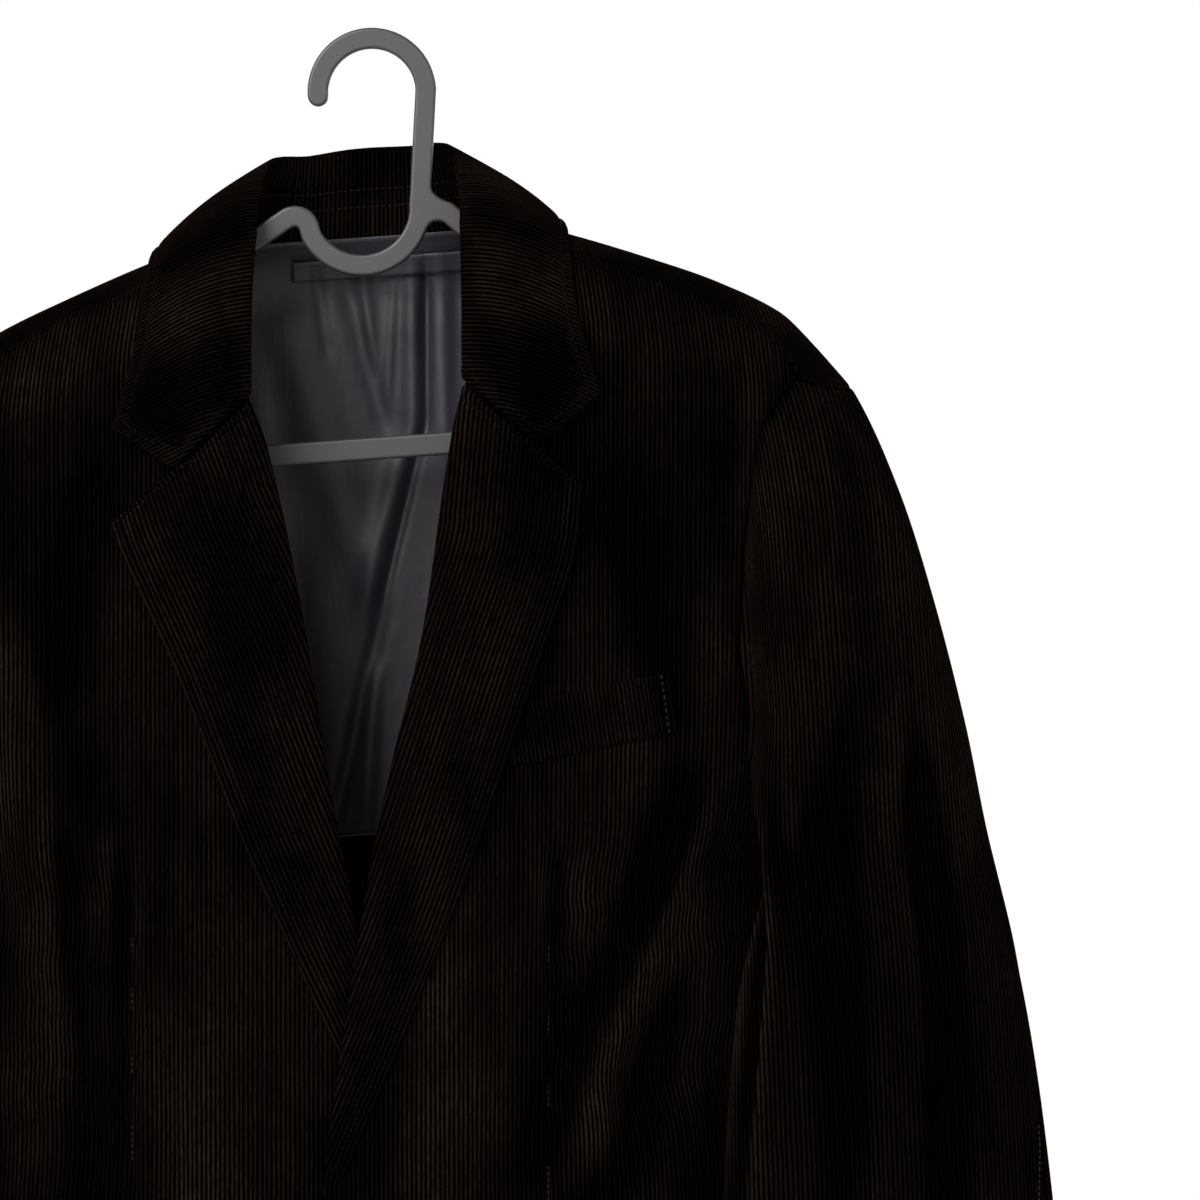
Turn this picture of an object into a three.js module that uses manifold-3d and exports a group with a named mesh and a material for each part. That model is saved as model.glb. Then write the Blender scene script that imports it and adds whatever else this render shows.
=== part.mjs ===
import * as THREE from 'three';
import { mergeVertices } from 'three/addons/utils/BufferGeometryUtils.js';
import Module from 'manifold-3d';

const wasm = await Module();
wasm.setup();

// Corduroy jacket on a one-piece hanger, in millimetres.
// +X is the wearer's left, +Y goes from the front to the back, +Z is up.
// The origin is the inner top of the hook, where a rail or a peg carries it.
// The cloth is worked out as a level, even jacket and then let hang: every
// upright stays upright, and every level line rises by hangSlope towards +X.

const hangSlope = 0.07;
const jacketMiddle = -6;
const cloth = 1.6;
const liningCloth = 1;
const seamGap = 0.4;
const shoulderGap = 0.9;
const sideGap = 1.2;
const armholeGap = 3.8;
const sleeveSeamTurn = 2.6;
const shoulderRoll = 45;
const sectionPower = 0.9;
const hemLevel = -832;
const cuffLevel = -790;
const underarmLevel = -368;

const cordBrown = { color: 0x1b100b, roughness: 0.9, metalness: 0 };
const cordLapel = { color: 0x20130d, roughness: 0.9, metalness: 0 };
const liningGrey = { color: 0x3a393f, roughness: 0.4, metalness: 0 };
const buttonGrey = { color: 0x2b2a2c, roughness: 0.35, metalness: 0 };
const hangerGrey = { color: 0x464648, roughness: 0.5, metalness: 0 };

// Half width and the depth to the front and the back of the body, by level.
const bodySections = [
  { level: -50, halfWidth: 240, front: 50, back: 50 },
  { level: -176, halfWidth: 240, front: 60, back: 54 },
  { level: -300, halfWidth: 232, front: 68, back: 58 },
  { level: -368, halfWidth: 216, front: 70, back: 57 },
  { level: -450, halfWidth: 205, front: 70, back: 53 },
  { level: -570, halfWidth: 199, front: 66, back: 48 },
  { level: -700, halfWidth: 206, front: 60, back: 50 },
  { level: -832, halfWidth: 214, front: 54, back: 50 },
];

// Top line of the shoulder, from the neck outwards.
const shoulderRidge = [
  { across: 0, level: -74 },
  { across: 40, level: -78 },
  { across: 75, level: -88 },
  { across: 100, level: -95 },
  { across: 142, level: -110.6 },
  { across: 170, level: -122.4 },
  { across: 199, level: -138.5 },
  { across: 213, level: -152.6 },
  { across: 240, level: -185 },
];

// The back comes over the shoulder to a seam that lies this far down the front.
const shoulderSeam = [
  { across: 75, down: 3 },
  { across: 104, down: 12 },
  { across: 133, down: 11 },
  { across: 161, down: 13 },
  { across: 199, down: 16 },
  { across: 208, down: 25.4 },
];

const frontArmhole = [
  { across: 208, level: -172 },
  { across: 199, level: -182 },
  { across: 190, level: -195 },
  { across: 186, level: -215 },
  { across: 182, level: -246 },
  { across: 179, level: -297 },
  { across: 184, level: -335 },
  { across: 199, level: -358 },
  { across: 215, level: underarmLevel },
];

const backArmhole = [
  { across: 230, level: -184 },
  { across: 218, level: -192 },
  { across: 204, level: -206 },
  { across: 194, level: -230 },
  { across: 188, level: -270 },
  { across: 188, level: -315 },
  { across: 198, level: -350 },
  { across: 215, level: -368 },
];
// Where the back, wrapped over the shoulder, meets the sleeve's crown in front.
const crownFront = [
  { across: 234, level: -179.5 },
  { across: 226, level: -177.5 },
  { across: 217, level: -175.5 },
];

// Front edge of each front from the neck down: the lapel's fold, then the edge.
const overFrontEdge = [
  { across: 75, level: -91 },
  { across: 66, level: -128 },
  { across: 52, level: -158 },
  { across: 44, level: -194 },
  { across: 31, level: -282 },
  { across: 17, level: -340 },
  { across: 5, level: -400 },
  { across: -12, level: -512 },
  { across: -18, level: -560 },
  { across: -18, level: -760 },
  { across: -4, level: -806 },
  { across: 30, level: -826 },
];

const underFrontEdge = [
  { across: 75, level: -91 },
  { across: 66, level: -128 },
  { across: 52, level: -158 },
  { across: 41, level: -192 },
  { across: 27, level: -259 },
  { across: 12, level: -351 },
  { across: 0, level: -415 },
  { across: -14, level: -505 },
  { across: -18, level: -560 },
  { across: -18, level: -760 },
  { across: -4, level: -806 },
  { across: 30, level: -826 },
];

// Outer edge of each lapel, from the notch to the break point.
const overLapelEdge = [
  { across: 86, level: -197 },
  { across: 106, level: -215 },
  { across: 102, level: -249 },
  { across: 83, level: -304 },
  { across: 68, level: -348 },
  { across: 46, level: -410 },
  { across: 19, level: -475 },
  { across: -6, level: -531 },
];

const underLapelEdge = [
  { across: 86, level: -197 },
  { across: 115, level: -217 },
  { across: 110, level: -232 },
  { across: 83, level: -293 },
  { across: 57, level: -361 },
  { across: 32, level: -421 },
  { across: 9, level: -471 },
  { across: -10, level: -512 },
];

// The collar's fold and outer edge, from the middle of the back to the front.
const collarPath = [
  {
    turn: 0.0, foldX: 0, foldY: 44, foldZ: -50,
    edgeX: 0, edgeY: 62, edgeZ: -104, seamX: 0, seamY: 38, seamZ: -90.5,
  },
  {
    turn: 0.2, foldX: 24, foldY: 40, foldZ: -50,
    edgeX: 46, edgeY: 58, edgeZ: -104, seamX: 26, seamY: 36, seamZ: -90,
  },
  {
    turn: 0.38, foldX: 41, foldY: 28, foldZ: -51,
    edgeX: 84, edgeY: 34, edgeZ: -98, seamX: 52, seamY: 24, seamZ: -88,
  },
  {
    turn: 0.52, foldX: 46, foldY: 4, foldZ: -62,
    edgeX: 98, edgeY: -2, edgeZ: -90, seamX: 69, seamY: 2, seamZ: -85,
  },
  {
    turn: 0.66, foldX: 48, foldY: -26, foldZ: -88,
    edgeX: 101, edgeY: -32, edgeZ: -104, seamX: 69, seamY: -28, seamZ: -99,
  },
  {
    turn: 0.84, foldX: 49, foldY: -51, foldZ: -126,
    edgeX: 105, edgeY: -54, edgeZ: -136, seamX: 61, seamY: -53, seamZ: -131,
  },
  {
    turn: 1.0, foldX: 49, foldY: -60, foldZ: -161,
    edgeX: 115, edgeY: -60, edgeZ: -173, seamX: 51, seamY: -58, seamZ: -157,
  },
];
const collarNotch = { across: 86, level: -194, share: 0.6 };

// Sleeve sections by level: inner and outer edge, half depth, middle and slant.
const sleeveSections = [
  { level: -150, inner: 200, outer: 211, half: 14, middle: 0, slant: 0 },
  { level: -176, inner: 204, outer: 233, half: 30, middle: -2, slant: 0 },
  { level: -225, inner: 202, outer: 255, half: 44, middle: -6, slant: 0.02 },
  { level: -280, inner: 194, outer: 272, half: 48, middle: -10, slant: 0.06 },
  { level: -340, inner: 187, outer: 287, half: 46, middle: -15, slant: 0.13 },
  { level: -390, inner: 182, outer: 297, half: 38, middle: -20, slant: 0.22 },
  { level: -450, inner: 179, outer: 311, half: 31, middle: -26, slant: 0.28 },
  { level: -530, inner: 173, outer: 324, half: 29, middle: -30, slant: 0.28 },
  { level: -620, inner: 171, outer: 332, half: 28, middle: -34, slant: 0.26 },
  { level: -710, inner: 176, outer: 329, half: 27, middle: -38, slant: 0.24 },
  { level: -790, inner: 184, outer: 321, half: 25, middle: -42, slant: 0.22 },
];

// Soft ridges (raised) and troughs (negative) of the hanging cloth.
// Each runs from one point to another and fades to both ends.
const frontFolds = [
  { side: 1, fromX: 192, fromZ: -165, toX: 181, toZ: -250, width: 9, rise: 5 },
  { side: 1, fromX: 172, fromZ: -330, toX: 108, toZ: -510, width: 15, rise: 5 },
  { side: 1, fromX: 148, fromZ: -390, toX: 96, toZ: -600, width: 20, rise: -5 },
  { side: 1, fromX: 90, fromZ: -395, toX: 92, toZ: -520, width: 9, rise: -2.5 },
  { side: 1, fromX: 150, fromZ: -560, toX: 120, toZ: -820, width: 22, rise: 7 },
  { side: 1, fromX: 70, fromZ: -600, toX: 78, toZ: -830, width: 20, rise: -5 },
  { side: -1, fromX: 190, fromZ: -165, toX: 182, toZ: -240, width: 9, rise: 4 },
  { side: -1, fromX: 158, fromZ: -280, toX: 152, toZ: -420, width: 15, rise: 5 },
  { side: -1, fromX: 152, fromZ: -400, toX: 120, toZ: -520, width: 14, rise: 4 },
  { side: -1, fromX: 107, fromZ: -385, toX: 107, toZ: -540, width: 9, rise: -2.5 },
  { side: -1, fromX: 130, fromZ: -560, toX: 140, toZ: -820, width: 24, rise: 6 },
  { side: -1, fromX: 60, fromZ: -590, toX: 84, toZ: -830, width: 20, rise: -5 },
];

const backFolds = [
  { side: 1, fromX: 120, fromZ: -180, toX: 150, toZ: -420, width: 20, rise: 6 },
  { side: 1, fromX: 60, fromZ: -420, toX: 90, toZ: -700, width: 22, rise: -6 },
  { side: 1, fromX: 150, fromZ: -460, toX: 130, toZ: -800, width: 24, rise: 6 },
  { side: -1, fromX: 110, fromZ: -170, toX: 156, toZ: -380, width: 19, rise: 5 },
  { side: -1, fromX: 70, fromZ: -380, toX: 80, toZ: -660, width: 24, rise: -6 },
  { side: -1, fromX: 140, fromZ: -500, toX: 150, toZ: -810, width: 22, rise: 7 },
];

// Creases of the sleeves: angle round the sleeve in degrees, front is 90.
const sleeveFolds = [
  { side: 1, fromTurn: 128, fromZ: -200, toTurn: 140, toZ: -560, width: 12, rise: 4 },
  { side: 1, fromTurn: 98, fromZ: -300, toTurn: 118, toZ: -395, width: 8, rise: 4 },
  { side: 1, fromTurn: 76, fromZ: -330, toTurn: 84, toZ: -640, width: 10, rise: -5 },
  { side: 1, fromTurn: 40, fromZ: -560, toTurn: 80, toZ: -700, width: 12, rise: -4 },
  { side: 1, fromTurn: 250, fromZ: -400, toTurn: 300, toZ: -600, width: 14, rise: -5 },
  { side: -1, fromTurn: 130, fromZ: -210, toTurn: 138, toZ: -600, width: 12, rise: 4 },
  { side: -1, fromTurn: 70, fromZ: -300, toTurn: 86, toZ: -600, width: 11, rise: -5 },
  { side: -1, fromTurn: 44, fromZ: -500, toTurn: 90, toZ: -640, width: 12, rise: -4 },
  { side: -1, fromTurn: 260, fromZ: -420, toTurn: 290, toZ: -640, width: 14, rise: -5 },
];

// Turn of the sleeve's back seam, in degrees from the outer edge to the front.
const sleeveBackSeam = [
  { level: -150, turn: -55 },
  { level: -320, turn: -38 },
  { level: -430, turn: -6 },
  { level: -566, turn: 26 },
  { level: -790, turn: 34 },
];
const sleeveEase = { across: 110, depth: 60, start: 2.1, clear: 4.2, held: -300, free: -215, freeDrop: 80 };

const overlap = { lift: 4.8, full: -390, none: -230 };
const collarLift = 4.4;
const collarFoldLift = 2.6;
const standReach = 0.56;
const standTop = { down: 4, inside: 2.2 };
const collarArch = { up: 7, back: 6 };
const lapelFold = { across: 49.5, first: -164, second: -180, step: 25, inside: 0.8 };
const lapelLift = { least: 2.4, rise: 2.4, bulge: 2 };
const lining = { halfWidth: 150, top: -97, bottom: -374, clear: 6, topClear: 2, across: 26, down: 10 };
const liningFolds = [
  { fromX: 32, fromZ: -100, toX: 14, toZ: -330, width: 6, rise: 4 },
  { fromX: -20, fromZ: -120, toX: 6, toZ: -280, width: 12, rise: 3 },
  { fromX: -48, fromZ: -150, toX: -30, toZ: -370, width: 10, rise: -2 },
];
const loopTape = { from: -33, to: 62, top: -98.5, tall: 9, clear: 3.4 };
const welt = { left: 50, right: 147, leftLevel: -318.5, rightLevel: -305, tall: 29, lean: 4, lift: 2.2 };
const buttons = { radius: 10, thick: 3.4, hole: 1, holeAt: 2.2, levels: [-552, -657], across: 0 };

const hanger = {
  band: 9.8,
  thick: 9,
  bevel: 1.2,
  barLevel: -190,
  barReach: 176,
  barBand: 9.4,
};
// The hook's ring, the dip under it and the hump beside the dip, as arcs.
const hangerArcs = {
  hook: { x: 0, z: -20.7, radius: 25.6, from: 180, to: 6, steps: 16 },
  dip: { x: -4.7, z: -75.2, radius: 27.5, from: 2, to: -152, steps: 16 },
  hump: { x: -36.5, z: -86.5, radius: 7, from: 20, to: 118, steps: 4 },
};
const hangerBranch = [
  { across: 23, level: -73.5 },
  { across: 34.3, level: -76.5 },
];
const hangerArm = [
  { across: 49, level: -87 },
  { across: 75, level: -97.6 },
  { across: 100, level: -105.7 },
  { across: 150, level: -125.5 },
  { across: 182, level: -143.6 },
  { across: 192, level: -156 },
  { across: 194, level: -170 },
  { across: 188, level: -184 },
  { across: 172, level: -190 },
];

const frontGrid = { across: 13, down: 24 };
const backGrid = { across: 13, down: 24 };
const shoulderCrowd = 1.35;
const turnScale = 200;
const crownLevel = -200;
const neckSeam = { across: 75, middle: -92, side: -88.1, step: 12.5 };
const sleeveGrid = { top: 14, under: 12, down: 21 };
const collarGrid = { along: 36, down: 6 };
const lapelGrid = { across: 7, down: 18 };

function smooth(from, to, value) {
  const share = THREE.MathUtils.clamp((value - from) / (to - from), 0, 1);
  return share * share * (3 - 2 * share);
}

// Smooth curve through a table's rows, read at any value of its key column.
function through(table, key, column) {
  const rows = [...table].sort((a, b) => a[key] - b[key]);
  const slope = (i) => {
    const low = rows[Math.max(i - 1, 0)];
    const high = rows[Math.min(i + 1, rows.length - 1)];
    return (high[column] - low[column]) / (high[key] - low[key]);
  };
  return (value) => {
    const at = THREE.MathUtils.clamp(value, rows[0][key], rows.at(-1)[key]);
    const found = rows.findIndex((row) => row[key] >= at);
    const i = Math.max(found - 1, 0);
    const a = rows[i];
    const b = rows[i + 1];
    const span = b[key] - a[key];
    const t = (at - a[key]) / span;
    const start = a[column] * (1 + 2 * t) * (1 - t) ** 2 + slope(i) * span * t * (1 - t) ** 2;
    return start + b[column] * t * t * (3 - 2 * t) + slope(i + 1) * span * t * t * (t - 1);
  };
}

const bodyHalf = through(bodySections, 'level', 'halfWidth');
const bodyFront = through(bodySections, 'level', 'front');
const bodyBack = through(bodySections, 'level', 'back');
const ridge = through(shoulderRidge, 'across', 'level');
const seamDown = through(shoulderSeam, 'across', 'down');

function hang(point, side) {
  const x = side * point.x;
  return new THREE.Vector3(x + jacketMiddle, point.y, point.z + hangSlope * x);
}

function signedPower(value, power) {
  return Math.sign(value) * Math.abs(value) ** power;
}

// Height and width of the folds in a table at one place of a panel.
function foldRise(folds, side, x, z) {
  let rise = 0;
  for (const fold of folds) {
    if (fold.side !== side) continue;
    const runX = fold.toX - fold.fromX;
    const runZ = fold.toZ - fold.fromZ;
    const long = runX * runX + runZ * runZ;
    const along = ((x - fold.fromX) * runX + (z - fold.fromZ) * runZ) / long;
    const off = ((x - fold.fromX) * runZ - (z - fold.fromZ) * runX) / Math.sqrt(long);
    const fade = smooth(-0.15, 0.3, along) * (1 - smooth(0.7, 1.15, along));
    rise += fold.rise * fade * Math.exp(-((off / fold.width) ** 2));
  }
  return rise;
}

// Distance over the shoulder from its top line, for a drop below that line.
function overShoulder(drop) {
  if (drop >= shoulderRoll) return (shoulderRoll * Math.PI) / 2 + drop - shoulderRoll;
  return shoulderRoll * Math.acos(1 - Math.max(drop, 0) / shoulderRoll);
}

function dropBelow(distance) {
  const quarter = (shoulderRoll * Math.PI) / 2;
  if (distance >= quarter) return shoulderRoll + distance - quarter;
  return shoulderRoll * (1 - Math.cos(distance / shoulderRoll));
}

// A place on the body: turn is the angle from the middle, 90 degrees at the
// side; over is the distance from the shoulder's top line, minus on the front.
function placeOf(x, z, face) {
  const share = THREE.MathUtils.clamp(x / bodyHalf(z), -1, 1);
  const turn = Math.asin(signedPower(share, 1 / sectionPower));
  return new THREE.Vector2(turn, face * overShoulder(ridge(Math.abs(x)) - z));
}

function bodyDepth(x, z, face) {
  const share = Math.min(Math.abs(x) / bodyHalf(z), 1);
  const turn = Math.asin(share ** (1 / sectionPower));
  const drop = Math.max(ridge(Math.abs(x)) - z, 0);
  const roll = drop < shoulderRoll ? Math.sqrt(1 - (1 - drop / shoulderRoll) ** 2) : 1;
  const depth = face < 0 ? bodyFront(z) : bodyBack(z);
  return face * depth * Math.cos(turn) ** sectionPower * roll;
}

function bodyPoint(place, side, lift) {
  const face = place.y < 0 ? -1 : 1;
  const drop = dropBelow(Math.abs(place.y));
  const spread = signedPower(Math.sin(place.x), sectionPower);
  let z = -100;
  let x = 0;
  for (let pass = 0; pass < 12; pass += 1) {
    x = bodyHalf(z) * spread;
    z = ridge(Math.abs(x)) - drop;
  }
  const folds = face < 0 ? frontFolds : backFolds;
  const open = Math.cos(place.x) * smooth(8, 60, Math.abs(place.y));
  const rise = foldRise(folds, side, x, z) * smooth(0, 0.35, open) + lift(x, z);
  return new THREE.Vector3(x, bodyDepth(x, z, face) + face * rise, z);
}

// Points spread along a run of places, evenly or, for a crowd over 1, closer
// together at its start.
function evenly(places, count, crowd = 1) {
  const reach = [0];
  for (let i = 1; i < places.length; i += 1) {
    const stepX = (places[i].x - places[i - 1].x) * turnScale;
    const stepY = places[i].y - places[i - 1].y;
    reach.push(reach[i - 1] + Math.hypot(stepX, stepY));
  }
  const result = [];
  for (let k = 0; k <= count; k += 1) {
    const want = reach.at(-1) * (k / count) ** crowd;
    const next = Math.max(reach.findIndex((value) => value >= want - 1e-9), 1);
    const share = (want - reach[next - 1]) / (reach[next] - reach[next - 1]);
    result.push(places[next - 1].clone().lerp(places[next], share));
  }
  return result;
}

// Fills a four-sided patch between its top, bottom, inner and outer runs.
function fillPatch(top, bottom, inner, outer) {
  const across = top.length - 1;
  const down = inner.length - 1;
  const rows = [];
  for (let r = 0; r <= down; r += 1) {
    const v = r / down;
    const row = [];
    for (let c = 0; c <= across; c += 1) {
      const u = c / across;
      const sides = inner[r].clone().lerp(outer[r], u);
      const ends = top[c].clone().lerp(bottom[c], v);
      const upper = top[0].clone().lerp(top[across], u);
      const lower = bottom[0].clone().lerp(bottom[across], u);
      row.push(sides.add(ends).sub(upper.lerp(lower, v)));
    }
    rows.push(row);
  }
  return rows;
}

// A closed wall of the given thickness behind a grid of outer points.
function wallGeometry(rows, thickness) {
  const down = rows.length;
  const across = rows[0].length;
  const at = (r, c) => rows[Math.min(Math.max(r, 0), down - 1)][Math.min(Math.max(c, 0), across - 1)];
  const positions = [];
  const inside = [];
  for (let r = 0; r < down; r += 1) {
    for (let c = 0; c < across; c += 1) {
      const alongRow = at(r, c + 1).clone().sub(at(r, c - 1));
      const alongColumn = at(r + 1, c).clone().sub(at(r - 1, c));
      const normal = alongRow.cross(alongColumn).normalize();
      const point = rows[r][c];
      positions.push(point.x, point.y, point.z);
      inside.push(point.clone().addScaledVector(normal, -thickness));
    }
  }
  for (const point of inside) positions.push(point.x, point.y, point.z);
  const layer = down * across;
  const index = [];
  const quad = (a, b, c, d) => index.push(a, c, b, a, d, c);
  for (let r = 0; r < down - 1; r += 1) {
    for (let c = 0; c < across - 1; c += 1) {
      const a = r * across + c;
      quad(a, a + 1, a + across + 1, a + across);
      quad(layer + a, layer + a + across, layer + a + across + 1, layer + a + 1);
    }
  }
  const rim = [];
  for (let c = 0; c < across - 1; c += 1) rim.push(c);
  for (let r = 0; r < down - 1; r += 1) rim.push(r * across + across - 1);
  for (let c = across - 1; c > 0; c -= 1) rim.push((down - 1) * across + c);
  for (let r = down - 1; r > 0; r -= 1) rim.push(r * across);
  rim.forEach((a, i) => {
    const b = rim[(i + 1) % rim.length];
    quad(a, layer + a, layer + b, b);
  });
  const geometry = new THREE.BufferGeometry();
  geometry.setAttribute('position', new THREE.Float32BufferAttribute(positions, 3));
  geometry.setIndex(index);
  return facingOut(geometry);
}

function facingOut(geometry) {
  const position = geometry.getAttribute('position');
  const index = geometry.getIndex();
  const corner = (i) => new THREE.Vector3().fromBufferAttribute(position, index.getX(i));
  let volume = 0;
  for (let i = 0; i < index.count; i += 3) volume += corner(i).dot(corner(i + 1).cross(corner(i + 2)));
  if (volume < 0) {
    for (let i = 0; i < index.count; i += 3) {
      const kept = index.getX(i);
      index.setX(i, index.getX(i + 1));
      index.setX(i + 1, kept);
    }
  }
  geometry.computeVertexNormals();
  return geometry;
}

function namedMesh(name, geometry, finish) {
  const mesh = new THREE.Mesh(geometry, new THREE.MeshStandardMaterial(finish));
  mesh.name = name;
  return mesh;
}

function panelRuns(table, face) {
  return table.map((row) => placeOf(row.across, row.level, face));
}

// The side seam runs from the underarm to the hem, at the body's edge.
function sideRun(face) {
  const levels = [-400, -480, -600, -720, hemLevel];
  const turn = Math.PI / 2 - sideGap / turnScale;
  return levels.map((level) => {
    const drop = ridge(bodyHalf(level)) - level;
    return new THREE.Vector2(turn, face * overShoulder(drop));
  });
}

function shoulderRun(fromX, toX, gap) {
  const run = [];
  for (let k = 0; k <= 12; k += 1) {
    const x = THREE.MathUtils.lerp(fromX, toX, k / 12);
    run.push(placeOf(x, ridge(x) - seamDown(x) - gap, -1));
  }
  return run;
}

function hemRun(fromPlace, toPlace, face) {
  const run = [fromPlace];
  for (let k = 1; k < 12; k += 1) {
    const turn = THREE.MathUtils.lerp(fromPlace.x, toPlace.x, k / 12);
    const x = bodyHalf(hemLevel) * signedPower(Math.sin(turn), sectionPower);
    run.push(placeOf(x, hemLevel + 6 * (1 - smooth(0, 0.25, k / 12)) * (face < 0 ? 1 : 0), face));
  }
  run.push(toPlace);
  return run;
}

// How far the over front stands off at the middle, to clear the under one.
function overlapLift(side) {
  if (side < 0) return () => 0;
  return (x, z) => overlap.lift * (1 - smooth(28, 90, x)) * (1 - smooth(overlap.full, overlap.none, z));
}

function frontPanel(side) {
  const edge = side > 0 ? overFrontEdge : underFrontEdge;
  const inner = panelRuns(edge, -1);
  inner[0] = placeOf(75, ridge(75) - seamDown(75) - shoulderGap, -1);
  const top = shoulderRun(75, 207, shoulderGap);
  const outer = [top.at(-1), ...panelRuns(frontArmhole, -1), ...sideRun(-1)];
  const bottom = hemRun(inner.at(-1), outer.at(-1), -1);
  const patch = fillPatch(
    evenly(top, frontGrid.across),
    evenly(bottom, frontGrid.across),
    evenly(inner, frontGrid.down, shoulderCrowd),
    evenly(outer, frontGrid.down, shoulderCrowd),
  );
  const lift = overlapLift(side);
  return patch.map((row) => row.map((place) => bodyPoint(place, side, lift)));
}

function backPanel(side) {
  const top = [];
  for (let x = 0; x < neckSeam.across; x += neckSeam.step) {
    const share = (x / neckSeam.across) ** 2;
    top.push(placeOf(x, THREE.MathUtils.lerp(neckSeam.middle, neckSeam.side, share), 1));
  }
  top.push(...shoulderRun(75, 207, 0));
  top[0].x = seamGap / 2 / bodyHalf(-92);
  const crown = [...panelRuns(crownFront, -1)].reverse();
  const outer = [top.at(-1), ...crown, ...panelRuns(backArmhole, 1), ...sideRun(1)];
  const inner = [top[0], new THREE.Vector2(top[0].x, overShoulder(ridge(0) - hemLevel))];
  const bottom = hemRun(inner[1], outer.at(-1), 1);
  const patch = fillPatch(
    evenly(top, backGrid.across),
    evenly(bottom, backGrid.across),
    evenly(inner, backGrid.down, shoulderCrowd),
    evenly(outer, backGrid.down, shoulderCrowd),
  );
  return patch.map((row) => row.map((place) => bodyPoint(place, side, () => 0)));
}

const sleeveInner = through(sleeveSections, 'level', 'inner');
const sleeveOuter = through(sleeveSections, 'level', 'outer');
const sleeveHalf = through(sleeveSections, 'level', 'half');
const sleeveMiddle = through(sleeveSections, 'level', 'middle');
const sleeveSlant = through(sleeveSections, 'level', 'slant');
const backSeamTurn = through(sleeveBackSeam, 'level', 'turn');

// The edge of both armhole panels, from the shoulder's top down the front and
// up the back again.
function armholeLoop() {
  const crown = panelRuns(crownFront, -1);
  const frontRun = [...crown, ...panelRuns(frontArmhole, -1)];
  const backRun = [crown[0], ...panelRuns(backArmhole, 1)].reverse();
  const steps = 60;
  const front = evenly(frontRun, steps).map((place) => bodyPoint(place, 1, () => 0));
  const back = evenly(backRun, steps).map((place) => bodyPoint(place, 1, () => 0));
  return [...front, ...back.slice(1)];
}

const armhole = armholeLoop();

function armholeAt(turn) {
  const share = THREE.MathUtils.euclideanModulo(turn, 360) / 360;
  const at = share * (armhole.length - 1);
  const low = Math.min(Math.floor(at), armhole.length - 2);
  return armhole[low].clone().lerp(armhole[low + 1], at - low);
}

// Where the body's side lies at one depth and level, to keep a sleeve clear.
function bodySideAt(y, z) {
  const depth = y < 0 ? bodyFront(z) : bodyBack(z);
  const share = Math.abs(y) / depth;
  if (share >= 1) return 0;
  const turn = Math.acos(share ** (1 / sectionPower));
  return bodyHalf(z) * Math.sin(turn) ** sectionPower;
}

function sleeveSection(turn, z) {
  const angle = THREE.MathUtils.degToRad(turn);
  const middle = (sleeveInner(z) + sleeveOuter(z)) / 2;
  const half = (sleeveOuter(z) - sleeveInner(z)) / 2;
  const x = middle + half * signedPower(Math.cos(angle), sectionPower);
  const centre = sleeveMiddle(z) + sleeveSlant(z) * (x - middle);
  return new THREE.Vector3(x, centre - sleeveHalf(z) * signedPower(Math.sin(angle), sectionPower), z);
}

function sleeveRise(side, turn, z) {
  let rise = 0;
  for (const fold of sleeveFolds) {
    if (fold.side !== side) continue;
    const along = (z - fold.fromZ) / (fold.toZ - fold.fromZ);
    const centre = THREE.MathUtils.lerp(fold.fromTurn, fold.toTurn, along);
    const fade = smooth(-0.15, 0.3, along) * (1 - smooth(0.7, 1.15, along));
    rise += fold.rise * fade * Math.exp(-(((turn - centre) / fold.width) ** 2));
  }
  return rise;
}

const frontSeamTurn = () => 192;

function sleevePoint(side, turnAt, share) {
  const start = armholeAt(turnAt(armholeAt(turnAt(crownLevel)).z));
  const z = THREE.MathUtils.lerp(start.z, cuffLevel, share);
  const drop = start.z - z;
  const turn = turnAt(z);
  const pull = start.clone().sub(sleeveSection(turnAt(start.z), start.z));
  const point = sleeveSection(turn, z);
  point.x += pull.x * Math.max(1 - drop / sleeveEase.across, 0) ** 2;
  point.y += pull.y * Math.max(1 - drop / sleeveEase.depth, 0) ** 2;
  const middle = new THREE.Vector3((sleeveInner(z) + sleeveOuter(z)) / 2, sleeveMiddle(z), z);
  const outward = point.clone().sub(middle).normalize();
  const open = smooth(0, 40, drop);
  point.addScaledVector(outward, sleeveRise(side, THREE.MathUtils.euclideanModulo(turn, 360), z) * open);
  const clear = Math.min(sleeveEase.clear, sleeveEase.start + drop * 0.6);
  const above = sleeveEase.freeDrop * smooth(sleeveEase.held, sleeveEase.free, z);
  point.x = Math.max(point.x, bodySideAt(point.y, z) + clear - above);
  return point;
}

// A sleeve piece between two lines that run down the sleeve, given by turn.
function sleevePanel(side, fromTurn, toTurn, columns) {
  const rows = [];
  for (let r = 0; r <= sleeveGrid.down; r += 1) {
    const row = [];
    for (let c = 0; c <= columns; c += 1) {
      const turnAt = (z) => THREE.MathUtils.lerp(fromTurn(z), toTurn(z), c / columns);
      row.push(sleevePoint(side, turnAt, (r / sleeveGrid.down) ** 1.25));
    }
    rows.push(row);
  }
  rows[0] = rows[0].map((point, c) => {
    const away = rows[1][c].clone().sub(point).normalize();
    return point.addScaledVector(away, armholeGap);
  });
  return rows;
}

const collarAt = {};
for (const column of Object.keys(collarPath[0])) {
  collarAt[column] = through(collarPath, 'turn', column);
}

function collarPoint(turn, line) {
  const at = Math.abs(turn);
  const x = collarAt[`${line}X`](at) * Math.sign(turn);
  return new THREE.Vector3(x, collarAt[`${line}Y`](at), collarAt[`${line}Z`](at));
}

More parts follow.
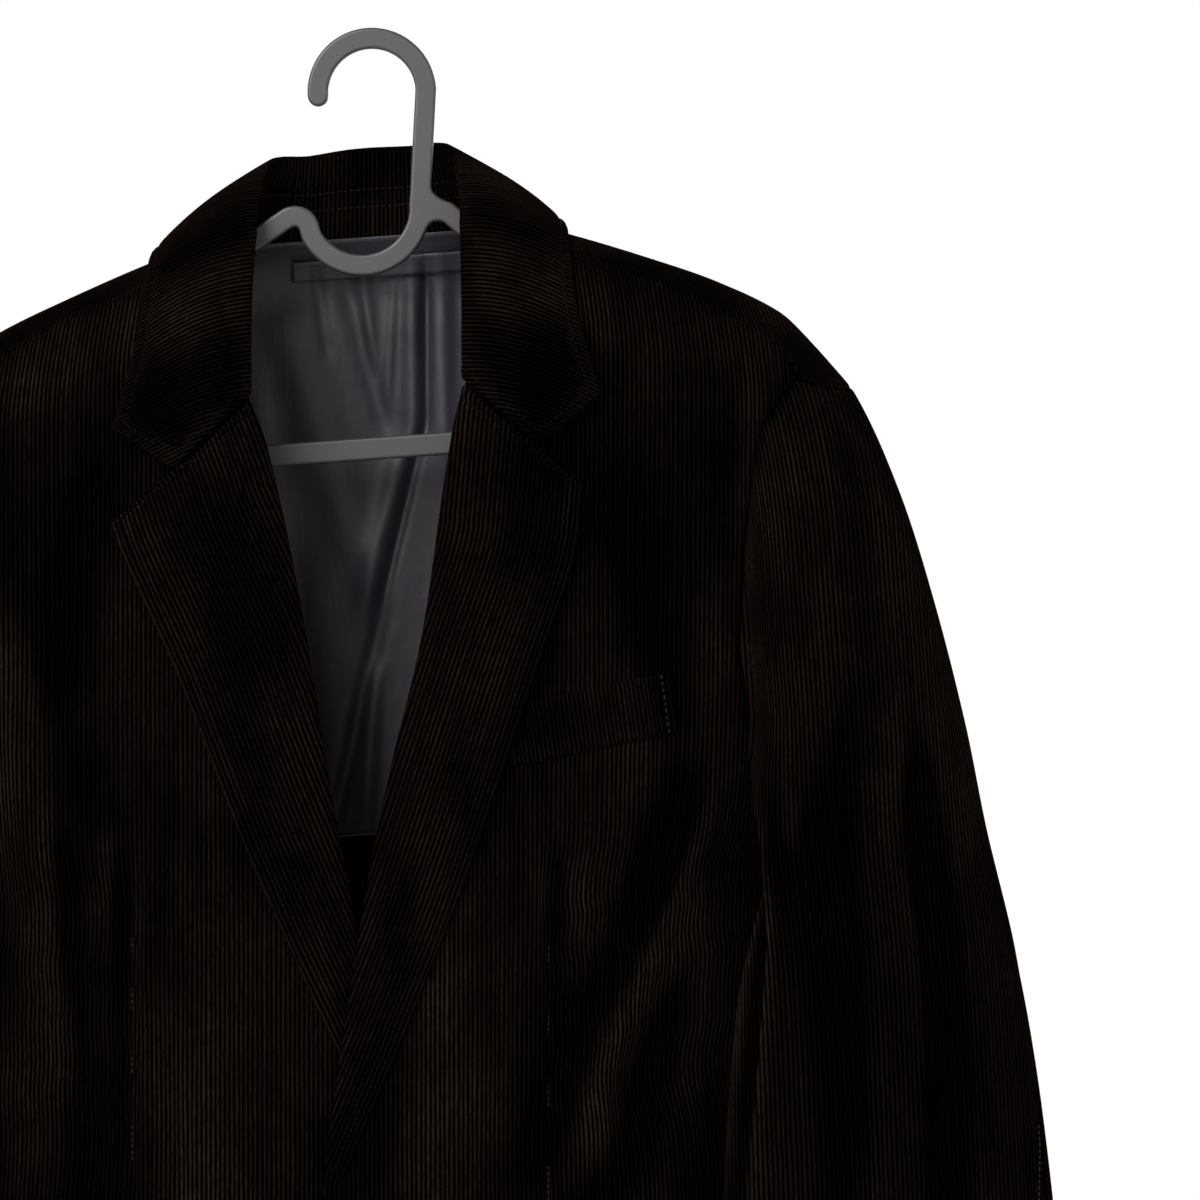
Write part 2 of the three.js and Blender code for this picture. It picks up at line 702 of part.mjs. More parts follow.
// Keeps a piece that lies on the body outside it, by the given distance.
function keepOff(point, distance) {
  const x = Math.abs(point.x);
  if (point.z > ridge(x)) return point;
  const face = point.y < 0 ? -1 : 1;
  const surface = bodyDepth(x, point.z, face) + face * distance;
  point.y = face < 0 ? Math.min(point.y, surface) : Math.max(point.y, surface);
  return point;
}

function collarEndPoint(share, side) {
  const fold = collarPoint(side, 'fold');
  const tip = collarPoint(side, 'edge');
  const notch = new THREE.Vector3(side * collarNotch.across, 0, collarNotch.level);
  notch.y = bodyDepth(collarNotch.across, collarNotch.level, -1) - collarLift;
  if (share < collarNotch.share) return fold.lerp(notch, share / collarNotch.share);
  return notch.lerp(tip, (share - collarNotch.share) / (1 - collarNotch.share));
}

function collarFall() {
  const rows = [];
  for (let r = 0; r <= collarGrid.down; r += 1) {
    const share = r / collarGrid.down;
    const row = [];
    for (let c = 0; c <= collarGrid.along; c += 1) {
      const turn = (2 * c) / collarGrid.along - 1;
      const fold = collarPoint(turn, 'fold');
      const edge = collarPoint(turn, 'edge');
      const point = fold.clone().lerp(edge, share);
      const arch = 4 * share * (1 - share);
      const near = 1 - smooth(0.55, 0.8, Math.abs(turn));
      point.z += arch * collarArch.up * near;
      point.y += arch * collarArch.back * (1 - smooth(0.1, 0.5, Math.abs(turn)));
      const side = Math.sign(turn) || 1;
      const straight = collarPoint(side, 'fold').lerp(collarPoint(side, 'edge'), share);
      const end = collarEndPoint(share, side).sub(straight);
      point.addScaledVector(end, smooth(0.78, 1, Math.abs(turn)));
      const lift = THREE.MathUtils.lerp(collarFoldLift, collarLift, smooth(0, 0.3, share)) + 2 * arch;
      row.push(keepOff(point, lift));
    }
    rows.push(row);
  }
  return rows;
}

function collarStand() {
  const rows = [];
  for (let r = 0; r <= 3; r += 1) {
    const row = [];
    for (let c = 0; c <= collarGrid.along; c += 1) {
      const turn = ((2 * c) / collarGrid.along - 1) * standReach;
      const top = collarPoint(turn, 'fold');
      top.z -= standTop.down;
      top.y -= standTop.inside * (1 - smooth(0.2, 0.5, Math.abs(turn)));
      top.x -= Math.sign(turn) * standTop.inside * smooth(0.1, 0.5, Math.abs(turn));
      row.push(top.lerp(collarPoint(turn, 'seam'), r / 3));
    }
    rows.push(row);
  }
  return rows;
}

function lapelPanel(side) {
  const edge = side > 0 ? overLapelEdge : underLapelEdge;
  const foldTable = side > 0 ? overFrontEdge : underFrontEdge;
  const flat = (row) => new THREE.Vector2(row.across / turnScale, row.level);
  const last = edge.at(-1);
  const foldAt = through(foldTable.slice(0, 9), 'level', 'across');
  const inner = [{ across: lapelFold.across, level: lapelFold.first }];
  for (let level = lapelFold.second; level > last.level; level -= lapelFold.step) {
    inner.push({ across: foldAt(level) - lapelFold.inside, level });
  }
  inner.push({ across: foldAt(last.level) - lapelFold.inside, level: last.level });
  const top = [inner[0], edge[0]];
  const bottom = [inner.at(-1), last];
  const patch = fillPatch(
    evenly(top.map(flat), lapelGrid.across),
    evenly(bottom.map(flat), lapelGrid.across),
    evenly(inner.map(flat), lapelGrid.down),
    evenly(edge.map(flat), lapelGrid.down),
  );
  const base = overlapLift(side);
  return patch.map((row, r) => row.map((spot, c) => {
    const x = spot.x * turnScale;
    const share = c / lapelGrid.across;
    const flatten = 1 - smooth(0.5, 0.68, r / lapelGrid.down);
    const roll = lapelLift.rise * smooth(0, 0.4, share) + lapelLift.bulge * Math.sin(Math.PI * share);
    const lift = lapelLift.least + roll * flatten + base(x, spot.y);
    return new THREE.Vector3(x, bodyDepth(x, spot.y, -1) - lift, spot.y);
  }));
}

function weltPanel() {
  const rows = [];
  for (let r = 0; r <= 2; r += 1) {
    const row = [];
    for (let c = 0; c <= 6; c += 1) {
      const share = c / 6;
      const x = THREE.MathUtils.lerp(welt.left, welt.right, share) + (welt.lean * r) / 2;
      const z = THREE.MathUtils.lerp(welt.leftLevel, welt.rightLevel, share) - (welt.tall * r) / 2;
      const rise = foldRise(frontFolds, 1, x, z) + overlapLift(1)(x, z);
      row.push(new THREE.Vector3(x, bodyDepth(x, z, -1) - rise - welt.lift, z));
    }
    rows.push(row);
  }
  return rows;
}

function liningDepth(x, z) {
  let rise = 0;
  for (const fold of liningFolds) {
    const along = (z - fold.fromZ) / (fold.toZ - fold.fromZ);
    const centre = THREE.MathUtils.lerp(fold.fromX, fold.toX, along);
    const fade = smooth(-0.1, 0.2, along) * (1 - smooth(0.8, 1.1, along));
    rise += fold.rise * fade * Math.exp(-(((x - centre) / fold.width) ** 2));
  }
  const clear = THREE.MathUtils.lerp(lining.clear, lining.topClear, smooth(-135, -100, z));
  return bodyDepth(x, z, 1) - cloth - clear - rise;
}

function liningPanel() {
  const rows = [];
  for (let r = 0; r <= lining.down; r += 1) {
    const row = [];
    for (let c = 0; c <= lining.across; c += 1) {
      const x = THREE.MathUtils.lerp(-lining.halfWidth, lining.halfWidth, c / lining.across);
      const top = Math.min(lining.top, ridge(Math.abs(x)) - 26);
      const z = THREE.MathUtils.lerp(top, lining.bottom, r / lining.down);
      row.push(new THREE.Vector3(x, liningDepth(x, z), z));
    }
    rows.push(row);
  }
  return rows;
}

function tapePanel() {
  const rows = [];
  for (let r = 0; r <= 1; r += 1) {
    const row = [];
    for (let c = 0; c <= 10; c += 1) {
      const x = THREE.MathUtils.lerp(loopTape.from, loopTape.to, c / 10);
      const z = loopTape.top - loopTape.tall * r;
      row.push(new THREE.Vector3(x, liningDepth(x, z) - loopTape.clear, z));
    }
    rows.push(row);
  }
  return rows;
}

function buttonGeometry(level) {
  const shape = new THREE.Shape().absarc(0, 0, buttons.radius, 0, Math.PI * 2);
  for (const x of [-buttons.holeAt, buttons.holeAt]) {
    for (const y of [-buttons.holeAt, buttons.holeAt]) {
      shape.holes.push(new THREE.Path().absarc(x, y, buttons.hole, 0, Math.PI * 2, true));
    }
  }
  const bevel = 0.7;
  const geometry = new THREE.ExtrudeGeometry(shape, {
    depth: buttons.thick - 2 * bevel,
    bevelThickness: bevel,
    bevelSize: bevel,
    bevelOffset: -bevel,
    bevelSegments: 1,
    curveSegments: 6,
  });
  const spot = new THREE.Vector3(buttons.across, bodyDepth(0, level, -1) - overlapLift(1)(0, level), level);
  const place = hang(spot, 1);
  geometry.rotateX(Math.PI / 2);
  geometry.translate(place.x, place.y - seamGap - bevel, place.z);
  return geometry;
}

// A flat band of even width along a path in the hanger's own plane.
function bandGeometry(path, width) {
  const left = [];
  const right = [];
  path.forEach((point, i) => {
    const before = path[Math.max(i - 1, 0)];
    const after = path[Math.min(i + 1, path.length - 1)];
    const run = after.clone().sub(before).normalize();
    const across = new THREE.Vector2(-run.y, run.x).multiplyScalar(width / 2 - hanger.bevel);
    left.push(point.clone().add(across));
    right.push(point.clone().sub(across));
  });
  const cap = (point, from) => {
    const arc = [];
    const start = Math.atan2(from.y - point.y, from.x - point.x);
    for (let k = 1; k < 6; k += 1) {
      const angle = start - (Math.PI * k) / 6;
      const reach = width / 2 - hanger.bevel;
      arc.push(new THREE.Vector2(point.x + reach * Math.cos(angle), point.y + reach * Math.sin(angle)));
    }
    return arc;
  };
  const outline = [
    ...left,
    ...cap(path.at(-1), left.at(-1)),
    ...right.reverse(),
    ...cap(path[0], right.at(-1)),
  ];
  const geometry = new THREE.ExtrudeGeometry(new THREE.Shape(outline), {
    depth: hanger.thick - 2 * hanger.bevel,
    bevelThickness: hanger.bevel,
    bevelSize: hanger.bevel,
    bevelSegments: 1,
  });
  geometry.rotateX(Math.PI / 2);
  geometry.translate(0, hanger.thick / 2 - hanger.bevel, 0);
  return geometry;
}

function hangerArc(arc) {
  const points = [];
  for (let k = 0; k <= arc.steps; k += 1) {
    const angle = THREE.MathUtils.degToRad(THREE.MathUtils.lerp(arc.from, arc.to, k / arc.steps));
    const reach = new THREE.Vector2(Math.cos(angle), Math.sin(angle)).multiplyScalar(arc.radius);
    points.push(reach.add(new THREE.Vector2(arc.x, arc.z)));
  }
  return points;
}

function hungArm(side) {
  const curve = new THREE.SplineCurve(hangerArm.map((row) => {
    const point = hang(new THREE.Vector3(row.across, 0, row.level), side);
    return new THREE.Vector2(point.x, point.z);
  }));
  return curve.getPoints(24);
}

function hangerGeometry() {
  const hook = hangerArc(hangerArcs.hook);
  const dip = hangerArc(hangerArcs.dip);
  const hump = hangerArc(hangerArcs.hump);
  const stem = [...hook, ...dip, ...hump, ...hungArm(-1)];
  const branch = [...hangerBranch.map((row) => new THREE.Vector2(row.across, row.level)), ...hungArm(1)];
  const barEnd = (side) => {
    const point = hang(new THREE.Vector3(hanger.barReach, 0, hanger.barLevel), side);
    return new THREE.Vector2(point.x, point.z);
  };
  const bar = [barEnd(-1), barEnd(1)];
  return joined([
    bandGeometry(stem, hanger.band),
    bandGeometry(branch, hanger.band),
    bandGeometry(bar, hanger.barBand),
  ]);
}

function toManifold(geometry) {
  const plain = geometry.clone();
  plain.deleteAttribute('normal');
  plain.deleteAttribute('uv');
  const merged = mergeVertices(plain, 1e-4);
  return new wasm.Manifold(new wasm.Mesh({
    numProp: 3,
    vertProperties: new Float32Array(merged.getAttribute('position').array),
    triVerts: new Uint32Array(merged.getIndex().array),
  }));
}

function joined(geometries) {
  const solid = geometries.map(toManifold).reduce((sum, next) => sum.add(next));
  const mesh = solid.getMesh();
  const geometry = new THREE.BufferGeometry();
  geometry.setAttribute('position', new THREE.Float32BufferAttribute(mesh.vertProperties, 3));
  geometry.setIndex([...mesh.triVerts]);
  geometry.computeVertexNormals();
  return geometry;
}

function hung(rows, side) {
  return rows.map((row) => row.map((point) => hang(point, side)));
}

const group = new THREE.Group();
group.add(namedMesh('hanger', hangerGeometry(), hangerGrey));
for (const side of [1, -1]) {
  const word = side > 0 ? 'left' : 'right';
  const sheet = (name, rows, face, finish) => {
    group.add(namedMesh(name, wallGeometry(hung(rows, side), cloth * side * face), finish));
  };
  sheet(`front_${word}`, frontPanel(side), -1, cordBrown);
  sheet(`back_${word}`, backPanel(side), 1, cordBrown);
  sheet(`lapel_${word}`, lapelPanel(side), -1, cordLapel);
  sheet(`sleeve_top_${word}`, sleevePanel(side, backSeamTurn, frontSeamTurn, sleeveGrid.top), 1, cordBrown);
  const underFrom = () => frontSeamTurn() + sleeveSeamTurn;
  const underTo = (z) => backSeamTurn(z) + 360 - sleeveSeamTurn;
  sheet(`sleeve_under_${word}`, sleevePanel(side, underFrom, underTo, sleeveGrid.under), 1, cordBrown);
}
group.add(namedMesh('collar_fall', wallGeometry(hung(collarFall(), 1), cloth), cordLapel));
group.add(namedMesh('collar_stand', wallGeometry(hung(collarStand(), 1), -cloth), cordBrown));
group.add(namedMesh('breast_welt', wallGeometry(hung(weltPanel(), 1), -cloth), cordLapel));
group.add(namedMesh('back_lining', wallGeometry(hung(liningPanel(), 1), -liningCloth), liningGrey));
group.add(namedMesh('hanger_loop', wallGeometry(hung(tapePanel(), 1), -liningCloth), liningGrey));
group.add(namedMesh('button_upper', buttonGeometry(buttons.levels[0]), buttonGrey));
group.add(namedMesh('button_lower', buttonGeometry(buttons.levels[1]), buttonGrey));

export default group;
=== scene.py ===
import math
import bpy
import numpy as np
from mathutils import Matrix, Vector


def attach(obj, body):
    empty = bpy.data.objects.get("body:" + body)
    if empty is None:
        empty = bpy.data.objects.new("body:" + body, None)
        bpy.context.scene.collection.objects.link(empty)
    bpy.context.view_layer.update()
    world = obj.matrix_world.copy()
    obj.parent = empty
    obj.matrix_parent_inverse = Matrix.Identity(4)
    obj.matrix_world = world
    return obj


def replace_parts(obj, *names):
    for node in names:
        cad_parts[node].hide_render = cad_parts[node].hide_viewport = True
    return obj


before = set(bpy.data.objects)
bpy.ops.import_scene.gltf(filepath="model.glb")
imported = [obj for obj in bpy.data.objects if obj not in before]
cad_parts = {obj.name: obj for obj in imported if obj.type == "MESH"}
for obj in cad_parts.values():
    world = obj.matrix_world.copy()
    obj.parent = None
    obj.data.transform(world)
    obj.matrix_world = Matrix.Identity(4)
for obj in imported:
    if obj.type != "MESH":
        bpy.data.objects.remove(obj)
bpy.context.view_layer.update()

# Corduroy jacket on a hanger. Lengths of the cloth are in millimetres on a
# level, even jacket; hang() tilts it as it hangs and meshes are in metres.
mm = 0.001
hangSlope = 0.07
jacketMiddle = -6.0
shoulderRoll = 45.0
sectionPower = 0.9
hemLevel = -832.0
cuffLevel = -790.0
quarterTurn = math.pi / 2


def table(names, *rows):
    return [dict(zip(names.split(), row)) for row in rows]


bodySections = table(
    "level halfWidth front back",
    (-50, 240, 50, 50), (-176, 240, 60, 54), (-300, 232, 68, 58), (-368, 216, 70, 57),
    (-450, 205, 70, 53), (-570, 199, 66, 48), (-700, 206, 60, 50), (-832, 214, 54, 50))

shoulderRidge = table(
    "across level",
    (0, -74), (40, -78), (75, -88), (100, -95), (142, -110.6), (170, -122.4),
    (199, -138.5), (213, -152.6), (240, -185))

shoulderSeam = table("across down", (75, 3), (104, 12), (133, 11), (161, 13), (199, 16), (208, 25.4))

frontArmhole = table(
    "across level",
    (208, -172), (199, -182), (190, -195), (186, -215), (182, -246), (179, -297),
    (184, -335), (199, -358), (215, -368))

backArmhole = table(
    "across level",
    (230, -184), (218, -192), (204, -206), (194, -230), (188, -270), (188, -315), (198, -350), (215, -368))

# Where the back, wrapped over the shoulder, meets the crown of the sleeve in front.
crownFront = table("across level", (234, -179.5), (226, -177.5), (217, -175.5))

overFrontEdge = table(
    "across level",
    (75, -91), (66, -128), (52, -158), (44, -194), (31, -282), (17, -340), (5, -400),
    (-12, -512), (-18, -560), (-18, -760), (-4, -806), (30, -826))

underFrontEdge = table(
    "across level",
    (75, -91), (66, -128), (52, -158), (41, -192), (27, -259), (12, -351), (0, -415),
    (-14, -505), (-18, -560), (-18, -760), (-4, -806), (30, -826))

overLapelEdge = table(
    "across level",
    (86, -197), (106, -215), (102, -249), (83, -304), (68, -348), (46, -410), (19, -475), (-6, -531))

underLapelEdge = table(
    "across level",
    (86, -197), (115, -217), (110, -232), (83, -293), (57, -361), (32, -421), (9, -471), (-10, -512))

collarPath = table(
    "turn foldX foldY foldZ edgeX edgeY edgeZ seamX seamY seamZ",
    (0.0, 0, 44, -50, 0, 62, -104, 0, 38, -90.5),
    (0.2, 24, 40, -50, 46, 58, -104, 26, 36, -90),
    (0.38, 41, 28, -51, 84, 34, -98, 52, 24, -88),
    (0.52, 46, 4, -62, 98, -2, -90, 69, 2, -85),
    (0.66, 48, -26, -88, 101, -32, -104, 69, -28, -99),
    (0.84, 49, -51, -126, 105, -54, -136, 61, -53, -131),
    (1.0, 49, -60, -161, 115, -60, -173, 51, -58, -157))

sleeveSections = table(
    "level inner outer half middle slant",
    (-150, 200, 211, 14, 0, 0), (-176, 204, 233, 30, -2, 0), (-225, 202, 255, 44, -6, 0.02),
    (-280, 194, 272, 48, -10, 0.06), (-340, 187, 287, 46, -15, 0.13), (-390, 182, 297, 38, -20, 0.22),
    (-450, 179, 311, 31, -26, 0.28), (-530, 173, 324, 29, -30, 0.28), (-620, 171, 332, 28, -34, 0.26),
    (-710, 176, 329, 27, -38, 0.24), (-790, 184, 321, 25, -42, 0.22))

sleeveBackSeam = table("level turn", (-150, -55), (-320, -38), (-430, -6), (-566, 26), (-790, 34))

# Soft ridges and troughs, each fading to both ends of its run.
frontFolds = table(
    "side fromX fromZ toX toZ width rise",
    (1, 192, -165, 181, -250, 8, 6), (1, 176, -350, 100, -530, 8, 5), (1, 160, -350, 84, -540, 14, -5),
    (1, 148, -440, 92, -640, 12, -6), (1, 90, -392, 92, -520, 3.5, -2.6), (1, 150, -560, 120, -820, 20, 9),
    (1, 70, -600, 78, -830, 18, -7), (1, 118, -470, 120, -640, 10, 4), (1, 60, -420, 50, -560, 12, 3),
    (1, 120, -200, 150, -330, 16, -3),
    (-1, 190, -165, 182, -240, 8, 5), (-1, 166, -270, 150, -420, 11, 6), (-1, 150, -330, 128, -500, 8, 5),
    (-1, 138, -380, 118, -560, 10, -5), (-1, 107, -383, 107, -540, 3.5, -2.6), (-1, 130, -560, 140, -820, 22, 8),
    (-1, 60, -590, 84, -830, 18, -7), (-1, 120, -190, 150, -300, 16, -3), (-1, 84, -430, 70, -560, 10, 3))

backFolds = table(
    "side fromX fromZ toX toZ width rise",
    (1, 120, -180, 150, -420, 16, 8), (1, 60, -420, 90, -700, 18, -8), (1, 150, -460, 130, -800, 20, 9),
    (1, 96, -200, 70, -330, 12, -4), (1, 40, -560, 30, -810, 14, 5), (1, 176, -330, 120, -470, 9, 5),
    (-1, 110, -170, 156, -380, 15, 7), (-1, 70, -380, 80, -660, 20, -8), (-1, 140, -500, 150, -810, 19, 9),
    (-1, 90, -210, 60, -350, 12, -4), (-1, 36, -600, 44, -820, 13, 5), (-1, 172, -350, 110, -500, 9, 5))

sleeveFolds = table(
    "side fromTurn fromZ toTurn toZ width rise",
    (1, 124, -192, 140, -600, 5, 7), (1, 146, -210, 158, -560, 9, -8), (1, 136, -600, 140, -790, 9, 4),
    (1, 100, -300, 118, -395, 6, 4), (1, 104, -400, 100, -560, 9, -4), (1, 84, -260, 88, -700, 8, 4),
    (1, 66, -330, 72, -690, 9, -6), (1, 40, -560, 80, -700, 9, -5), (1, 28, -300, 30, -640, 12, 4),
    (1, 250, -400, 300, -600, 12, -6), (1, 230, -260, 250, -460, 11, 5), (1, 300, -300, 280, -560, 12, 4),
    (1, 262, -640, 270, -780, 10, 4),
    (-1, 126, -200, 138, -620, 5, 7), (-1, 147, -220, 157, -560, 9, -8), (-1, 86, -250, 90, -640, 8, 4),
    (-1, 64, -300, 76, -620, 9, -6), (-1, 44, -500, 90, -640, 9, -5), (-1, 30, -320, 26, -660, 12, 4),
    (-1, 260, -420, 290, -640, 12, -6), (-1, 236, -280, 246, -500, 11, 5), (-1, 300, -330, 286, -600, 12, 4))


def smooth(start, end, value):
    share = np.clip((np.asarray(value, float) - start) / (end - start), 0, 1)
    return share * share * (3 - 2 * share)


def mix(a, b, share):
    return a + (b - a) * share


def through(rows, key, column):
    rows = sorted(rows, key=lambda row: row[key])
    keys = np.array([row[key] for row in rows], float)
    values = np.array([row[column] for row in rows], float)
    low = np.maximum(np.arange(len(rows)) - 1, 0)
    high = np.minimum(np.arange(len(rows)) + 1, len(rows) - 1)
    slopes = (values[high] - values[low]) / (keys[high] - keys[low])

    def read(value):
        at = np.clip(value, keys[0], keys[-1])
        i = np.clip(np.searchsorted(keys, at, side="left") - 1, 0, len(rows) - 2)
        span = keys[i + 1] - keys[i]
        t = (at - keys[i]) / span
        start = values[i] * (1 + 2 * t) * (1 - t) ** 2 + slopes[i] * span * t * (1 - t) ** 2
        return start + values[i + 1] * t * t * (3 - 2 * t) + slopes[i + 1] * span * t * t * (t - 1)
    return read


bodyHalf = through(bodySections, "level", "halfWidth")
bodyFront = through(bodySections, "level", "front")
bodyBack = through(bodySections, "level", "back")
ridge = through(shoulderRidge, "across", "level")
seamDown = through(shoulderSeam, "across", "down")


def hang(points, side):
    x = side * points[..., 0]
    return np.stack([x + jacketMiddle, points[..., 1], points[..., 2] + hangSlope * x], -1)


def signedPower(value, power):
    return np.sign(value) * np.abs(value) ** power


def foldRise(folds, side, x, z):
    rise = np.zeros(np.shape(x))
    for fold in folds:
        if fold["side"] != side:
            continue
        runX = fold["toX"] - fold["fromX"]
        runZ = fold["toZ"] - fold["fromZ"]
        length = math.hypot(runX, runZ)
        along = ((x - fold["fromX"]) * runX + (z - fold["fromZ"]) * runZ) / length ** 2
        off = ((x - fold["fromX"]) * runZ - (z - fold["fromZ"]) * runX) / length
        fade = smooth(-0.15, 0.3, along) * (1 - smooth(0.7, 1.15, along))
        rise += fold["rise"] * fade * np.exp(-(off / fold["width"]) ** 2)
    return rise


def overShoulder(drop):
    drop = np.asarray(drop, float)
    inside = shoulderRoll * np.arccos(np.clip(1 - np.maximum(drop, 0) / shoulderRoll, -1, 1))
    return np.where(drop >= shoulderRoll, shoulderRoll * quarterTurn + drop - shoulderRoll, inside)


def dropBelow(distance):
    quarter = shoulderRoll * quarterTurn
    rolled = shoulderRoll * (1 - np.cos(np.minimum(distance, quarter) / shoulderRoll))
    return np.where(distance >= quarter, shoulderRoll + distance - quarter, rolled)


# A place is (turn from the middle, distance over the shoulder, minus in front).
def placeOf(x, z, face):
    share = np.clip(x / bodyHalf(z), -1, 1)
    turn = np.arcsin(signedPower(share, 1 / sectionPower))
    return np.array([float(turn), float(face * overShoulder(ridge(abs(x)) - z))])


def bodyDepth(x, z, face):
    share = np.minimum(np.abs(x) / bodyHalf(z), 1)
    turn = np.arcsin(share ** (1 / sectionPower))
    drop = np.maximum(ridge(np.abs(x)) - z, 0)
    roll = np.sqrt(1 - (1 - np.minimum(drop, shoulderRoll) / shoulderRoll) ** 2)
    depth = np.where(face < 0, bodyFront(z), bodyBack(z))
    return face * depth * np.cos(turn) ** sectionPower * roll


def bodyPoints(places, side, lift):
    turn = places[..., 0]
    over = places[..., 1]
    face = np.where(over < 0, -1.0, 1.0)
    drop = dropBelow(np.abs(over))
    spread = signedPower(np.sin(turn), sectionPower)
    z = np.full(turn.shape, -100.0)
    for _ in range(14):
        x = bodyHalf(z) * spread
        z = ridge(np.abs(x)) - drop
    rise = np.where(face < 0, foldRise(frontFolds, side, x, z), foldRise(backFolds, side, x, z))
    openness = np.cos(turn) * smooth(8, 60, np.abs(over))
    rise = rise * smooth(0, 0.35, openness) + lift(x, z)
    return np.stack([x, bodyDepth(x, z, face) + face * rise, z], -1)


def alongRun(places, shares):
    places = np.array(places, float)
    steps = np.diff(places, axis=0) * np.array([200.0, 1.0])
    reach = np.concatenate([[0], np.cumsum(np.hypot(steps[:, 0], steps[:, 1]))])
    want = reach[-1] * np.asarray(shares)
    return np.stack([np.interp(want, reach, places[:, k]) for k in range(2)], -1)


def fillPatch(top, bottom, inner, outer, u, v):
    u = u[None, :, None]
    v = v[:, None, None]
    sides = mix(inner[:, None], outer[:, None], u)
    ends = mix(top[None], bottom[None], v)
    return sides + ends - mix(mix(top[0], top[-1], u), mix(bottom[0], bottom[-1], u), v)


def distanceTo(path, x, z):
    best = np.full(x.shape, 1e9)
    for (ax, az), (bx, bz) in zip(path[:-1], path[1:]):
        runX, runZ = bx - ax, bz - az
        t = np.clip(((x - ax) * runX + (z - az) * runZ) / (runX ** 2 + runZ ** 2), 0, 1)
        best = np.minimum(best, np.hypot(x - ax - t * runX, z - az - t * runZ))
    return best


def cumulative(points, first, keys=(0, 1)):
    steps = np.diff(points[..., keys], axis=1)
    run = np.cumsum(np.sqrt((steps ** 2).sum(-1)), axis=1)
    start = np.broadcast_to(np.asarray(first, float), (points.shape[0],))[:, None]
    return np.concatenate([start, start + run], axis=1)


def columnRun(points):
    steps = np.diff(points, axis=0)
    run = np.cumsum(np.sqrt((steps ** 2).sum(-1)), axis=0)
    return np.concatenate([np.zeros((1, points.shape[1])), run], axis=0)


def gridNormals(points):
    normal = np.cross(np.gradient(points, axis=1), np.gradient(points, axis=0))
    length = np.linalg.norm(normal, axis=-1, keepdims=True)
    return normal / np.maximum(length, 1e-9)


def shares(count, start=0.0, end=0.0):
    plain = np.linspace(0, 1, count)
    extra = []
    if start:
        extra += [start * 0.35, start]
    if end:
        extra += [1 - end, 1 - end * 0.35]
    keep = plain[(plain < 1e-9) | (plain > 1 - 1e-9) | ((plain > start * 1.5) & (plain < 1 - end * 1.5))]
    return np.unique(np.concatenate([keep, extra])) if extra else keep


def blurred(field, reach):
    for axis in (0, 1):
        for _ in range(2):
            pad = [(0, 0)] * field.ndim
            pad[axis] = (reach, reach)
            pads = [(reach + 1, reach) if k == axis else (0, 0) for k in range(field.ndim)]
            wide = np.cumsum(np.pad(field, pads, mode="edge"), axis=axis)
            span = 2 * reach + 1
            field = (np.take(wide, range(span, wide.shape[axis]), axis) - np.take(
                wide, range(wide.shape[axis] - span), axis)) / span
    return field


# Where the cloth stands out into a ridge (positive) or sinks into a trough; the material paints fold ridges lighter
# and troughs darker from it, as painted highlight and painted shade.
def foldShadeMask(points, normal):
    plain = blurred(points, 2)
    wide = blurred(points, 9)
    height = ((plain - wide) * normal).sum(-1)
    rows, columns = height.shape
    edge = np.minimum(np.minimum(np.arange(rows), np.arange(rows)[::-1])[:, None],
                      np.minimum(np.arange(columns), np.arange(columns)[::-1])[None, :])
    return (height - blurred(height, 22)) * smooth(0, 9, edge)


# Closed cloth shell: the grid is its right side, the wrong side lies a cloth's
# thickness behind it, and the rim between them is drawn in to a soft edge.
def clothShell(name, points, cloth, outward, spread, material, soften=0.3):
    rows, columns = points.shape[:2]
    normal = gridNormals(points) * outward
    edge = np.zeros((rows, columns, 1))
    edge[0] = edge[-1] = 1
    edge[:, 0] = edge[:, -1] = 1
    right = points - normal * cloth * soften * edge
    wrong = points - normal * cloth * (1 - soften * edge)
    verts = np.concatenate([right.reshape(-1, 3), wrong.reshape(-1, 3)]) * mm
    count = rows * columns
    index = np.arange(count).reshape(rows, columns)
    a, b = index[:-1, :-1].ravel(), index[:-1, 1:].ravel()
    c, d = index[1:, 1:].ravel(), index[1:, :-1].ravel()
    rim = np.concatenate([index[0, :-1], index[:-1, -1], index[-1, :0:-1], index[:0:-1, 0]])
    after = np.roll(rim, -1)
    faces = np.concatenate([
        np.stack([a, d, c, b], -1),
        np.stack([a, b, c, d], -1) + count,
        np.stack([rim, after, after + count, rim + count], -1)])
    a, b, c, d = (verts[faces[:, k]] for k in range(4))
    if np.sum(a * (np.cross(b, c) + np.cross(c, d))) < 0:
        faces = faces[:, ::-1]
    mesh = bpy.data.meshes.new(name)
    mesh.vertices.add(len(verts))
    mesh.vertices.foreach_set("co", verts.ravel())
    mesh.loops.add(faces.size)
    mesh.loops.foreach_set("vertex_index", faces.ravel())
    mesh.polygons.add(len(faces))
    mesh.polygons.foreach_set("loop_start", np.arange(0, faces.size, 4))
    mesh.update(calc_edges=True)
    uv = np.tile(spread.reshape(-1, 2), (2, 1)) * mm
    layer = mesh.uv_layers.new(name="cut")
    layer.data.foreach_set("uv", uv[faces.ravel()].ravel())
    mesh.polygons.foreach_set("use_smooth", np.ones(len(faces), bool))
    # The fold attribute is a mask for painted highlight on fold ridges and painted shade in fold troughs.
    fold = mesh.attributes.new("fold", "FLOAT", "POINT")
    fold.data.foreach_set("value", np.tile(foldShadeMask(points, normal).ravel(), 2))
    mesh.materials.append(material)
    mesh.validate()
    piece = bpy.data.objects.new(name, mesh)
    bpy.context.scene.collection.objects.link(piece)
    return piece


def finishSheet(piece, nodes=()):
    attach(piece, "root")
    if nodes:
        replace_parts(piece, *nodes)


def softCrease(off, width):
    return np.exp(-(off / width) ** 2)


